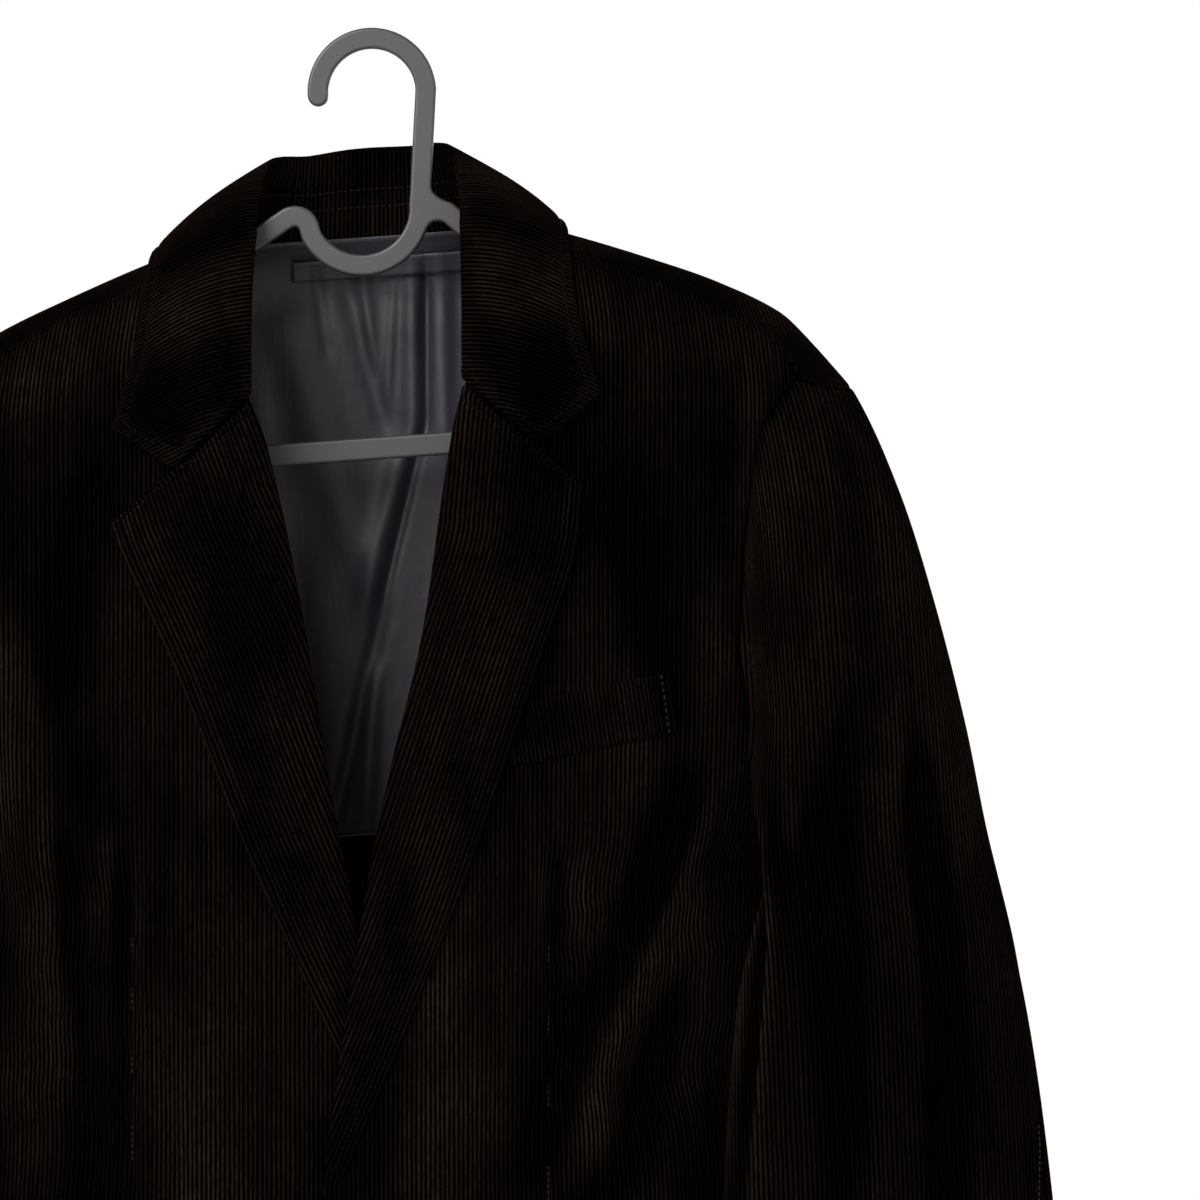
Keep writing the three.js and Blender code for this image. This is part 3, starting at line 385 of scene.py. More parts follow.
# Body panels. Seams turn in by a small step so that each shows as a groove.
seam = {"gap": -0.3, "turnIn": 0.9, "reach": 2.0}
panelSize = {"columns": 84, "rows": 170, "crowd": 1.25}


def runOf(rows, face):
    return [placeOf(row["across"], row["level"], face) for row in rows]


def sideRun(face):
    run = []
    for level in (-400, -440, -480, -540, -600, -660, -720, -780, hemLevel):
        drop = ridge(bodyHalf(level)) - level
        run.append(np.array([quarterTurn, float(face * overShoulder(drop))]))
    return run


def shoulderRun(startX, endX, gap):
    return [placeOf(x, ridge(x) - seamDown(x) - gap, -1) for x in np.linspace(startX, endX, 24)]


def hemRun(start, end, face):
    run = [start]
    for k in range(1, 24):
        turn = mix(start[0], end[0], k / 24)
        x = bodyHalf(hemLevel) * signedPower(math.sin(turn), sectionPower)
        lift = 6 * (1 - smooth(0, 0.25, k / 24)) if face < 0 else 0
        run.append(placeOf(x, hemLevel + lift, face))
    return run + [end]


def overlapLift(side):
    if side < 0:
        return lambda x, z: np.zeros(np.shape(x))
    return lambda x, z: 4.8 * (1 - smooth(28, 90, x)) * (1 - smooth(-390, -230, z))


def turnedEdges(points, outward, sides):
    normal = gridNormals(points) * outward
    rows, columns = points.shape[:2]
    drop = np.zeros((rows, columns))
    width = np.concatenate([[0], np.cumsum(np.linalg.norm(np.diff(points[rows // 2], axis=0), axis=1))])
    height = np.concatenate([[0], np.cumsum(np.linalg.norm(np.diff(points[:, columns // 2], axis=0), axis=1))])
    for side in sides:
        near = {"left": width[None, :], "right": width[-1] - width[None, :],
                "top": height[:, None], "bottom": height[-1] - height[:, None]}[side]
        drop = np.maximum(drop, seam["turnIn"] * np.exp(-(near / seam["reach"]) ** 2) * np.ones((rows, columns)))
    return points - normal * drop[..., None]


def panelShares(edge):
    u = shares(panelSize["columns"], edge, edge)
    v = np.linspace(0, 1, panelSize["rows"]) ** panelSize["crowd"]
    v = np.unique(np.concatenate([v, [0.0015, 0.004, 0.998, 0.9993]]))
    return u, v


# Darts: a groove pressed along the front, puckered where it starts.
darts = table(
    "side x top bottom",
    (1, 90, -401, -560),
    (-1, 105, -392, -560))
dartForm = {"fade": 16, "groove": 1.5, "width": 1.6, "pucker": 1.7, "tall": 22, "ridge": 9}
dartPaths = []


def dartPress(side, x, z):
    form = dartForm
    press = np.zeros(np.shape(x))
    for dart in darts:
        if dart["side"] == side:
            off = x - dart["x"]
            down = 1 - smooth(dart["top"] - form["fade"], dart["top"] + form["fade"], z)
            press += form["groove"] * down * softCrease(off, form["width"])
            gather = np.exp(-((z - dart["top"]) / form["tall"]) ** 2)
            beside = softCrease(np.abs(off) - form["ridge"], 4)
            press += form["pucker"] * gather * (softCrease(off, 3) - 0.8 * beside)
    return press


def frontPanel(side):
    edge = overFrontEdge if side > 0 else underFrontEdge
    inner = runOf(edge, -1)
    inner[0] = placeOf(75, ridge(75) - seamDown(75) - seam["gap"], -1)
    top = shoulderRun(75, 207.5, seam["gap"])
    outer = [top[-1]] + runOf(frontArmhole, -1) + sideRun(-1)
    bottom = hemRun(inner[-1], outer[-1], -1)
    u, v = panelShares(0.008)
    places = fillPatch(alongRun(top, u), alongRun(bottom, u), alongRun(inner, v), alongRun(outer, v), u, v)
    lap = overlapLift(side)

    def lift(x, z):
        return lap(x, z) - dartPress(side, x, z)

    points = bodyPoints(places, side, lift)
    for dart in darts:
        if dart["side"] == side:
            levels = np.arange(dart["top"], dart["bottom"], -3.0)
            turns = [placeOf(dart["x"], level, -1) for level in levels]
            line = bodyPoints(np.array(turns)[None], side, lambda x, z: lift(x, z) + 0.25)
            dartPaths.append(hang(line[0], side))
    spread = np.stack([cumulative(points, points[:, 0, 0]), columnRun(points)], -1)
    return turnedEdges(points, frontOutward, ["right", "top"]), spread


def backPanel(side):
    top = [placeOf(x, mix(-92, -88.1, (x / 75) ** 2), 1) for x in np.arange(0, 75, 9.0)]
    top += shoulderRun(75, 207.5, 0)
    top[0][0] = -0.0018
    outer = [top[-1]] + runOf(crownFront, -1)[::-1] + runOf(backArmhole, 1) + sideRun(1)
    inner = [top[0], np.array([top[0][0], float(overShoulder(ridge(0) - hemLevel))])]
    bottom = hemRun(inner[1], outer[-1], 1)
    u, v = panelShares(0.008)
    places = fillPatch(alongRun(top, u), alongRun(bottom, u), alongRun(inner, v), alongRun(outer, v), u, v)
    points = bodyPoints(places, side, lambda x, z: np.zeros(np.shape(x)))
    over = places[..., 1]
    across = cumulative(points, points[:, 0, 0]) + stripSlant * np.minimum(over, 0)
    return turnedEdges(points, backOutward, ["left", "right", "top"]), np.stack([across, over], -1)


frontOutward = -1
backOutward = 1
stripSlant = 0.9
jacketBits = {}
for side, word in ((1, "left"), (-1, "right")):
    points, spread = frontPanel(side)
    jacketBits["front_" + word] = (hang(points, side), frontOutward * side, spread)
    points, spread = backPanel(side)
    jacketBits["back_" + word] = (hang(points, side), backOutward * side, spread)
print("body panels ready")

# Sleeves: sections round each arm, pulled to the armhole at the top.
sleeveInner = through(sleeveSections, "level", "inner")
sleeveOuter = through(sleeveSections, "level", "outer")
sleeveHalf = through(sleeveSections, "level", "half")
sleeveMiddle = through(sleeveSections, "level", "middle")
sleeveSlant = through(sleeveSections, "level", "slant")
backSeamTurn = through(sleeveBackSeam, "level", "turn")
sleeveSize = {
    "top": 96, "under": 80, "rows": 150, "gap": -1.0, "seamTurn": 0.25,
    "across": 110, "depth": 60, "start": 1.2, "clear": 4.2, "held": -300, "free": -215, "freeDrop": 80, "roll": 2.4}


def armholeLoop():
    crown = runOf(crownFront, -1)
    front = crown + runOf(frontArmhole, -1)
    back = ([crown[0]] + runOf(backArmhole, 1))[::-1]
    even = np.linspace(0, 1, 241)
    flat = lambda x, z: np.zeros(np.shape(x))
    loop = [bodyPoints(alongRun(run, even)[None], 1, flat)[0] for run in (front, back)]
    return np.concatenate([loop[0], loop[1][1:]])


armhole = armholeLoop()


def armholeAt(turn):
    at = np.mod(turn, 360) / 360 * (len(armhole) - 1)
    spots = np.arange(len(armhole))
    return np.stack([np.interp(at, spots, armhole[:, k]) for k in range(3)], -1)


def bodySideAt(y, z):
    depth = np.where(y < 0, bodyFront(z), bodyBack(z))
    share = np.minimum(np.abs(y) / depth, 1)
    turn = np.arccos(share ** (1 / sectionPower))
    return bodyHalf(z) * np.sin(turn) ** sectionPower


def sleeveSection(turn, z):
    angle = np.radians(turn)
    middle = (sleeveInner(z) + sleeveOuter(z)) / 2
    half = (sleeveOuter(z) - sleeveInner(z)) / 2
    x = middle + half * signedPower(np.cos(angle), sectionPower)
    centre = sleeveMiddle(z) + sleeveSlant(z) * (x - middle)
    return np.stack([x, centre - sleeveHalf(z) * signedPower(np.sin(angle), sectionPower), z], -1)


def sleeveRise(side, turn, z):
    rise = np.zeros(np.shape(z))
    for fold in sleeveFolds:
        if fold["side"] != side:
            continue
        along = (z - fold["fromZ"]) / (fold["toZ"] - fold["fromZ"])
        centre = mix(fold["fromTurn"], fold["toTurn"], along)
        fade = smooth(-0.15, 0.3, along) * (1 - smooth(0.7, 1.15, along))
        rise += fold["rise"] * fade * np.exp(-((turn - centre) / fold["width"]) ** 2)
    return rise


# Distance round the sleeve from one line, on its own section lower down the arm,
# so that the wales run straight up into the crown.
girthTurns = np.arange(-80, 441, 2.0)
girthLevels = np.linspace(-330, -790, 47)
girthGrid = cumulative(sleeveSection(girthTurns[None, :], girthLevels[:, None] + 0 * girthTurns), 0)


def sleeveGirth(turn, x, z, anchor):
    held = np.minimum(z, girthLevels[0])
    half = (sleeveOuter(held) - sleeveInner(held)) / 2
    raw = (x - (sleeveInner(z) + sleeveOuter(z)) / 2) / half
    share = np.clip(raw, -1, 1)
    front = np.degrees(np.arccos(signedPower(share, 1 / sectionPower)))
    at = np.where(turn < 0, -front, np.where(turn > 180, 360 - front, front))
    row = (girthLevels[0] - held) / 10
    low = np.clip(row.astype(int), 0, len(girthLevels) - 2)
    arcs = np.zeros(at.shape)
    for k in range(len(girthLevels)):
        here = np.interp(at, girthTurns, girthGrid[k] - np.interp(anchor, girthTurns, girthGrid[k]))
        arcs += here * np.where(low == k, 1 - (row - low), np.where(low + 1 == k, row - low, 0))
    return arcs + (share - raw) * half * np.where(turn > 180, -1, 1)


def sleevePanel(side, fromTurn, toTurn, columns, outward, anchor):
    size = sleeveSize
    u = shares(columns, 0.01, 0.01)[None, :]
    v = (np.linspace(0, 1, size["rows"]) ** 1.2)[:, None]
    v = np.unique(np.concatenate([v.ravel(), [0.0012, 0.0035, 0.9975, 0.9992]]))[:, None]

    def turnAt(z):
        return mix(fromTurn(z), toTurn(z), u)
    startZ = armholeAt(turnAt(armholeAt(turnAt(-200.0))[..., 2]))[..., 2]
    start = armholeAt(turnAt(armholeAt(turnAt(-200.0))[..., 2]))
    z = mix(startZ, cuffLevel, v)
    drop = startZ - z
    turn = turnAt(z)
    pull = start - sleeveSection(turnAt(startZ), startZ)
    points = sleeveSection(turn, z)
    points[..., 0] += pull[..., 0] * np.maximum(1 - drop / size["across"], 0) ** 2
    points[..., 1] += pull[..., 1] * np.maximum(1 - drop / size["depth"], 0) ** 2
    middle = np.stack([(sleeveInner(z) + sleeveOuter(z)) / 2, sleeveMiddle(z), z], -1)
    out = points - middle
    out /= np.linalg.norm(out, axis=-1, keepdims=True)
    roll = size["roll"] * smooth(0, 7, drop) * (1 - smooth(10, 48, drop))
    roll = roll * smooth(0.15, 0.6, np.abs(np.sin(np.radians(turn))))
    points += out * (sleeveRise(side, np.mod(turn, 360), z) * smooth(0, 40, drop) + roll)[..., None]
    clear = np.minimum(size["clear"], size["start"] + drop * 0.6)
    above = size["freeDrop"] * smooth(size["held"], size["free"], z)
    points[..., 0] = np.maximum(points[..., 0], bodySideAt(points[..., 1], z) + clear - above)
    away = points[3] - points[0]
    points[0] += away / np.linalg.norm(away, axis=-1, keepdims=True) * size["gap"]
    spread = np.stack([sleeveGirth(turn, points[..., 0], points[..., 2], anchor), columnRun(points)], -1)
    return turnedEdges(points, outward, ["left", "right", "top"]), spread


frontSeamTurn = 192.0
for side, word in ((1, "left"), (-1, "right")):
    gap = sleeveSize["seamTurn"]
    points, spread = sleevePanel(side, backSeamTurn, lambda z: frontSeamTurn, sleeveSize["top"], 1, 90)
    jacketBits["sleeve_top_" + word] = (hang(points, side), side, spread)
    points, spread = sleevePanel(
        side, lambda z: frontSeamTurn + gap, lambda z: backSeamTurn(z) + 360 - gap,
        sleeveSize["under"], 1, 270)
    jacketBits["sleeve_under_" + word] = (hang(points, side), side, spread)
print("sleeves ready")

# A pressed line at an even distance from a cut edge, and the soft edge itself.
def pressedEdge(points, outward, distance, line, depth, width):
    press = depth * np.exp(-((distance - line) / width) ** 2) + 0.9 * np.exp(-(distance / 1.4) ** 2)
    return points - gridNormals(points) * outward * press[..., None]


def stitchPath(points, distance, value, keep, axis):
    if axis == 0:
        points, distance, keep = points.swapaxes(0, 1), distance.T, keep.T
    path = []
    for spots, values, kept in zip(points, distance, keep):
        cross = np.nonzero((values[:-1] - value) * (values[1:] - value) <= 0)[0]
        for k in cross[:1]:
            if kept[k] and values[k] != values[k + 1]:
                path.append(mix(spots[k], spots[k + 1], (value - values[k]) / (values[k + 1] - values[k])))
    return np.array(path)


stitchPaths = []


# Collar: a fall from its fold line to its edge, and the stand inside it.
collarRead = {key: through(collarPath, "turn", key) for key in collarPath[0] if key != "turn"}
collarSize = {
    "along": 240, "down": 44, "standDown": 22, "lift": 4.4, "foldLift": 2.6, "reach": 0.57,
    "standDrop": 1.6, "inside": 1.2, "up": 7, "back": 6,
    "raise": 4.2, "leafTurn": 0.64, "leafSlant": 0.3, "leafStretch": 0.96}
collarNotch = {"across": 86, "level": -194, "share": 0.6}


def collarLine(turn, line):
    at = np.abs(turn)
    level = collarRead[line + "Z"](at)
    if line == "fold":
        wave = np.sin(turn * 7 + 0.6) * 0.9 + np.sin(turn * 15 + 2) * 0.5
        level = level + (collarSize["raise"] + wave) * (1 - smooth(0.5, 0.85, at))
    return np.stack([collarRead[line + "X"](at) * np.sign(turn), collarRead[line + "Y"](at), level], -1)


def keepOff(points, distance):
    x = np.abs(points[..., 0])
    z = points[..., 2]
    face = np.where(points[..., 1] < 0, -1.0, 1.0)
    surface = bodyDepth(x, z, face) + face * distance
    held = np.where(face < 0, np.minimum(points[..., 1], surface), np.maximum(points[..., 1], surface))
    points[..., 1] = np.where(z > ridge(x), points[..., 1], held)
    return points


def collarFall():
    size = collarSize
    share = shares(size["down"], 0.0, 0.03)[:, None]
    turn = np.clip(np.concatenate([
        [-1, -0.9965, -0.99], np.linspace(-0.98, 0.98, size["along"]), [0.99, 0.9965, 1]]), -1, 1)[None, :]
    side = np.where(turn < 0, -1.0, 1.0)
    points = mix(collarLine(turn, "fold"), collarLine(turn, "edge"), share[..., None])
    arch = 4 * share * (1 - share)
    points[..., 2] += arch * size["up"] * (1 - smooth(0.55, 0.8, np.abs(turn)))
    points[..., 1] += arch * size["back"] * (1 - smooth(0.1, 0.5, np.abs(turn)))
    fold = collarLine(side, "fold")
    tip = collarLine(side, "edge")
    notchY = float(bodyDepth(collarNotch["across"], collarNotch["level"], -1)) - size["lift"]
    notch = np.stack([side * collarNotch["across"], side * 0 + notchY, side * 0 + collarNotch["level"]], -1)
    at = collarNotch["share"]
    bent = np.where(
        (share < at)[..., None], mix(fold, notch, (share / at)[..., None]),
        mix(notch, tip, ((share - at) / (1 - at))[..., None]))
    points += (bent - mix(fold, tip, share[..., None])) * smooth(0.78, 1, np.abs(turn))[..., None]
    # The leaf rolls softly: it leaves the neck in a round fold and its tip lifts a little.
    roll = np.exp(-(share / 0.16) ** 2) * (1 - smooth(0.9, 1.0, np.abs(turn)))
    lift = mix(size["foldLift"], size["lift"], smooth(0, 0.3, share)) + 2 * arch
    lift = lift + 3.2 * smooth(0.72, 1, share) * smooth(0.6, 1, np.abs(turn)) + 1.2 * roll
    points = keepOff(points, lift)
    along = columnAlong(points).copy()
    run = cumulative(points, 0, (0, 1, 2))
    down = columnRun(points)
    toEdge = down[-1] - down
    toEnd = np.minimum(run, run[:, -1:] - run)
    distance = np.minimum(toEdge, toEnd)
    points = pressedEdge(points, 1, distance, 5.6, 0.8, 1.2)
    stitchPaths.append(hang(stitchPath(points, toEdge, 5.6, toEnd > 5.6, 0), 1))
    for half in (toEnd < run, toEnd >= run):
        ends = stitchPath(points, np.where(half, toEnd, 99), 5.6, toEdge > 5.6, 1)
        stitchPaths.append(hang(ends, 1))
    # On the leaves the wales run straight on, aslant to the neck, past the notch.
    for sign in (-1, 1):
        start = int(np.argmin(np.abs(turn[0] * sign - size["leafTurn"])))
        leaf = np.s_[:, start:] if sign > 0 else np.s_[:, :start + 1]
        level = (points[..., 2] + size["leafSlant"] * points[..., 0] * sign) * -sign / size["leafStretch"]
        along[leaf] = along[:, [start]] + level[leaf] - level[:, [start]]
    return points, np.stack([along, columnRun(points)], -1)


def columnAlong(points):
    run = cumulative(points, 0, (0, 1, 2))
    run = run - run[:, run.shape[1] // 2][:, None]
    return np.broadcast_to(run[run.shape[0] // 2], run.shape)


def collarStand():
    size = collarSize
    turn = np.linspace(-1, 1, size["along"])[None, :] * size["reach"]
    share = np.linspace(0, 1, size["standDown"])[:, None]
    top = collarLine(turn, "fold")
    top[..., 2] -= size["standDrop"]
    top[..., 1] -= size["inside"] * (1 - smooth(0.2, 0.5, np.abs(turn)))
    top[..., 0] -= np.sign(turn) * size["inside"] * smooth(0.1, 0.5, np.abs(turn))
    points = mix(top, collarLine(turn, "seam"), share[..., None])
    points[..., 1] += 1.0 * np.exp(-((share - 0.46) / 0.05) ** 2)
    spread = np.stack([columnAlong(points), columnRun(points)], -1)
    return points, spread


# Lapels: the facing turned out along the fold line, its wales parallel to the edge.
lapelSize = {"columns": 78, "rows": 190, "least": 2.4, "rise": 2.6, "bulge": 2.4}


def lapelPanel(side):
    size = lapelSize
    edge = overLapelEdge if side > 0 else underLapelEdge
    foldTable = overFrontEdge if side > 0 else underFrontEdge
    last = edge[-1]
    edgeAt = through(edge[1:], "level", "across")
    foldAt = through(foldTable[:9], "level", "across")
    inner = [[49.5, -164]]
    for level in range(-180, last["level"], -12):
        inner.append([float(foldAt(level)) - 0.8, level])
    inner.append([float(foldAt(last["level"])) - 0.8, last["level"]])
    outer = [[row["across"], row["level"]] for row in edge[:2]]
    for level in range(edge[1]["level"] - 12, last["level"], -12):
        outer.append([float(edgeAt(level)), level])
    outer.append([last["across"], last["level"]])
    flat = lambda rows: [np.array([x / 200, z]) for x, z in rows]
    u = shares(size["columns"], 0.0, 0.02)
    v = shares(size["rows"], 0.003, 0.003)
    places = fillPatch(
        alongRun(flat([inner[0], outer[0]]), u), alongRun(flat([inner[-1], outer[-1]]), u),
        alongRun(flat(inner), v), alongRun(flat(outer), v), u, v)
    x = places[..., 0] * 200
    z = places[..., 1]
    share = np.broadcast_to(u[None, :], x.shape)
    down = np.broadcast_to(v[:, None], x.shape)
    flatten = 1 - smooth(0.5, 0.72, down)
    roll = size["rise"] * smooth(0, 0.4, share) + size["bulge"] * np.sin(math.pi * share)
    lift = size["least"] + roll * flatten + overlapLift(side)(x, z)
    lift = lift + lapelCurl(side, share, down) - 1.6 * np.exp(-(share / 0.05) ** 2)
    points = np.stack([x, bodyDepth(x, z, -1) - lift, z], -1)
    run = cumulative(points, 0)
    toEdge = run[:, -1][:, None] - run
    toTop = columnRun(points)
    points = pressedEdge(points, -1, np.minimum(toEdge, toTop), 5.6, 0.9, 1.2)
    stitchPaths.append(hang(stitchPath(points, toEdge, 5.6, toTop > 5.6, 1), side))
    stitchPaths.append(hang(stitchPath(points, toTop, 5.6, toEdge > 5.6, 0), side))
    tip = np.array(outer[1])
    line = [tip + (tip - outer[3]) * 3] + outer[1:]
    return points, np.stack([distanceTo(line, x, z), toTop], -1)


# Tips that curl forward and edges that stand a little proud, uneven by side.
lapelCurls = table(
    "side share down wide tall rise",
    (1, 1.0, 0.06, 0.22, 0.09, 7.0), (1, 0.9, 0.32, 0.3, 0.13, 3.0), (1, 0.5, 0.2, 0.22, 0.16, -1.6),
    (-1, 1.0, 0.05, 0.25, 0.07, 4.0), (-1, 0.85, 0.4, 0.3, 0.16, 2.6), (-1, 0.45, 0.22, 0.25, 0.15, -1.5))


def lapelCurl(side, share, down):
    rise = np.zeros(np.shape(share))
    for curl in lapelCurls:
        if curl["side"] == side:
            rise += curl["rise"] * np.exp(
                -((share - curl["share"]) / curl["wide"]) ** 2 - ((down - curl["down"]) / curl["tall"]) ** 2)
    return rise


points, spread = collarFall()
jacketBits["collar_fall"] = (hang(points, 1), 1, spread)
points, spread = collarStand()
jacketBits["collar_stand"] = (hang(points, 1), -1, spread)
for side, word in ((1, "left"), (-1, "right")):
    points, spread = lapelPanel(side)
    jacketBits["lapel_" + word] = (hang(points, side), -side, spread)

# Breast welt, half lining of the back and its loop tape.
weltSize = {
    "columns": 90, "rows": 30, "left": 50, "right": 147, "leftLevel": -318.5, "rightLevel": -305,
    "tall": 29, "lean": 4, "lift": 2.0}
liningSize = {
    "halfWidth": 150, "top": -88.8, "bottom": -374, "clear": 6, "topClear": 2, "columns": 190, "rows": 150,
    "cloth": 0.9}
tapeSize = {"from": -33, "to": 62, "top": -98.5, "tall": 9, "clear": 3.4, "columns": 90, "rows": 12}
liningFolds = table(
    "fromX fromZ toX toZ width rise",
    (31, -104, 31, -186, 2.0, -3.4), (31, -176, 10, -262, 2.2, -3.6), (24, -100, 25, -190, 5, 3.4),
    (22, -182, 0, -270, 6, 3.4), (38, -104, 40, -200, 5, 2.6), (14, -250, -14, -372, 4, -2.4),
    (-40, -112, 6, -262, 13, 3.4), (-10, -102, 14, -190, 5, -1.6), (-34, -230, -22, -372, 9, -2.4),
    (-50, -150, -36, -372, 7, 2.4), (0, -100, 6, -150, 3, 1.4), (-22, -100, -16, -146, 3, -1.2),
    (16, -104, 12, -170, 2.4, 1.4), (6, -290, 2, -372, 4, 2.0))


def weltPanel():
    size = weltSize
    u = shares(size["columns"], 0.012, 0.012)[None, :]
    v = shares(size["rows"], 0.06, 0.06)[:, None]
    x = mix(size["left"], size["right"], u) + size["lean"] * v
    z = mix(size["leftLevel"], size["rightLevel"], u) - size["tall"] * v
    rise = foldRise(frontFolds, 1, x, z) + overlapLift(1)(x, z)
    inset = np.minimum(np.minimum(u, 1 - u) * 97, np.minimum(v * 2, 1 - v) * 29)
    lift = size["lift"] + 0.5 * smooth(0, 3, inset) - 1.4 * (1 - smooth(0, 1.6, (1 - v) * 29))
    points = np.stack([x, bodyDepth(x, z, -1) - rise - lift, z], -1)
    return points, np.stack([cumulative(points, 0), columnRun(points)], -1)


def liningDepth(x, z):
    rise = np.zeros(np.shape(x + z))
    for fold in liningFolds:
        along = (z - fold["fromZ"]) / (fold["toZ"] - fold["fromZ"])
        centre = mix(fold["fromX"], fold["toX"], along)
        fade = smooth(-0.1, 0.2, along) * (1 - smooth(0.8, 1.1, along))
        rise = rise + fold["rise"] * fade * np.exp(-((x - centre) / fold["width"]) ** 2)
    clear = mix(liningSize["clear"], liningSize["topClear"], smooth(-135, -100, z))
    return bodyDepth(x, z, 1) - liningSize["cloth"] - 0.6 - clear - rise


def liningPanel():
    size = liningSize
    x = np.linspace(-size["halfWidth"], size["halfWidth"], size["columns"])[None, :]
    top = np.minimum(size["top"], ridge(np.abs(x)) - mix(10, 26, smooth(52, 84, np.abs(x))))
    z = mix(top, size["bottom"], np.linspace(0, 1, size["rows"])[:, None])
    x, z = np.broadcast_arrays(x, z)
    points = np.stack([x, liningDepth(x, z), z], -1)
    return points, np.stack([x, z - size["bottom"]], -1)


def tapePanel():
    size = tapeSize
    x = np.linspace(size["from"], size["to"], size["columns"])[None, :]
    z = size["top"] - size["tall"] * np.linspace(0, 1, size["rows"])[:, None]
    x, z = np.broadcast_arrays(x, z)
    rise = 0.25 * np.sin(x * 0.31) * np.sin(x * 0.083 + 1)
    points = np.stack([x, liningDepth(x, z) - size["clear"] - rise, z], -1)
    return points, np.stack([x, z], -1)


points, spread = weltPanel()
jacketBits["breast_welt"] = (hang(points, 1), -1, spread)
points, spread = liningPanel()
jacketBits["back_lining"] = (hang(points, 1), -1, spread)
points, spread = tapePanel()
jacketBits["hanger_loop"] = (hang(points, 1), -1, spread)
print("collar, lapels, welt and lining ready")


# Materials. Wales are drawn from each piece's own cut, in real millimetres.
def addNode(tree, kind, inputs=None, **settings):
    made = tree.nodes.new(kind)
    for key, value in settings.items():
        setattr(made, key, value)
    for key, value in (inputs or {}).items():
        if isinstance(value, bpy.types.NodeSocket):
            tree.links.new(value, made.inputs[key])
        else:
            made.inputs[key].default_value = value
    return made


def calc(tree, operation, *values, clamp=False):
    made = addNode(tree, "ShaderNodeMath", dict(enumerate(values)), operation=operation, use_clamp=clamp)
    return made.outputs[0]


def blendColor(tree, share, first, second, kind="MIX"):
    made = addNode(
        tree, "ShaderNodeMix", {0: share, 6: first, 7: second}, data_type="RGBA", blend_type=kind)
    return made.outputs[2]


def ramp(tree, value, low, high, start=0.0, end=1.0):
    made = addNode(
        tree, "ShaderNodeMapRange", {0: value, 1: low, 2: high, 3: start, 4: end}, interpolation_type="SMOOTHSTEP")
    return made.outputs[0]


def noise(tree, vector, scale, detail=2.0, rough=0.5):
    made = addNode(
        tree, "ShaderNodeTexNoise", {"Vector": vector, "Scale": scale, "Detail": detail, "Roughness": rough})
    return made.outputs[0]


def stretched(tree, u, v, scaleU, scaleV, deep=0.0):
    made = addNode(
        tree, "ShaderNodeCombineXYZ", {0: calc(tree, "MULTIPLY", u, scaleU), 1: calc(tree, "MULTIPLY", v, scaleV),
                                       2: deep})
    return made.outputs[0]


def newGroup(name, inputs, outputs):
    group = bpy.data.node_groups.new(name, "ShaderNodeTree")
    for word, kind in inputs.items():
        group.interface.new_socket(word, in_out="INPUT", socket_type="NodeSocket" + kind)
    for word, kind in outputs.items():
        group.interface.new_socket(word, in_out="OUTPUT", socket_type="NodeSocket" + kind)
    return group, group.nodes.new("NodeGroupInput").outputs, group.nodes.new("NodeGroupOutput").inputs


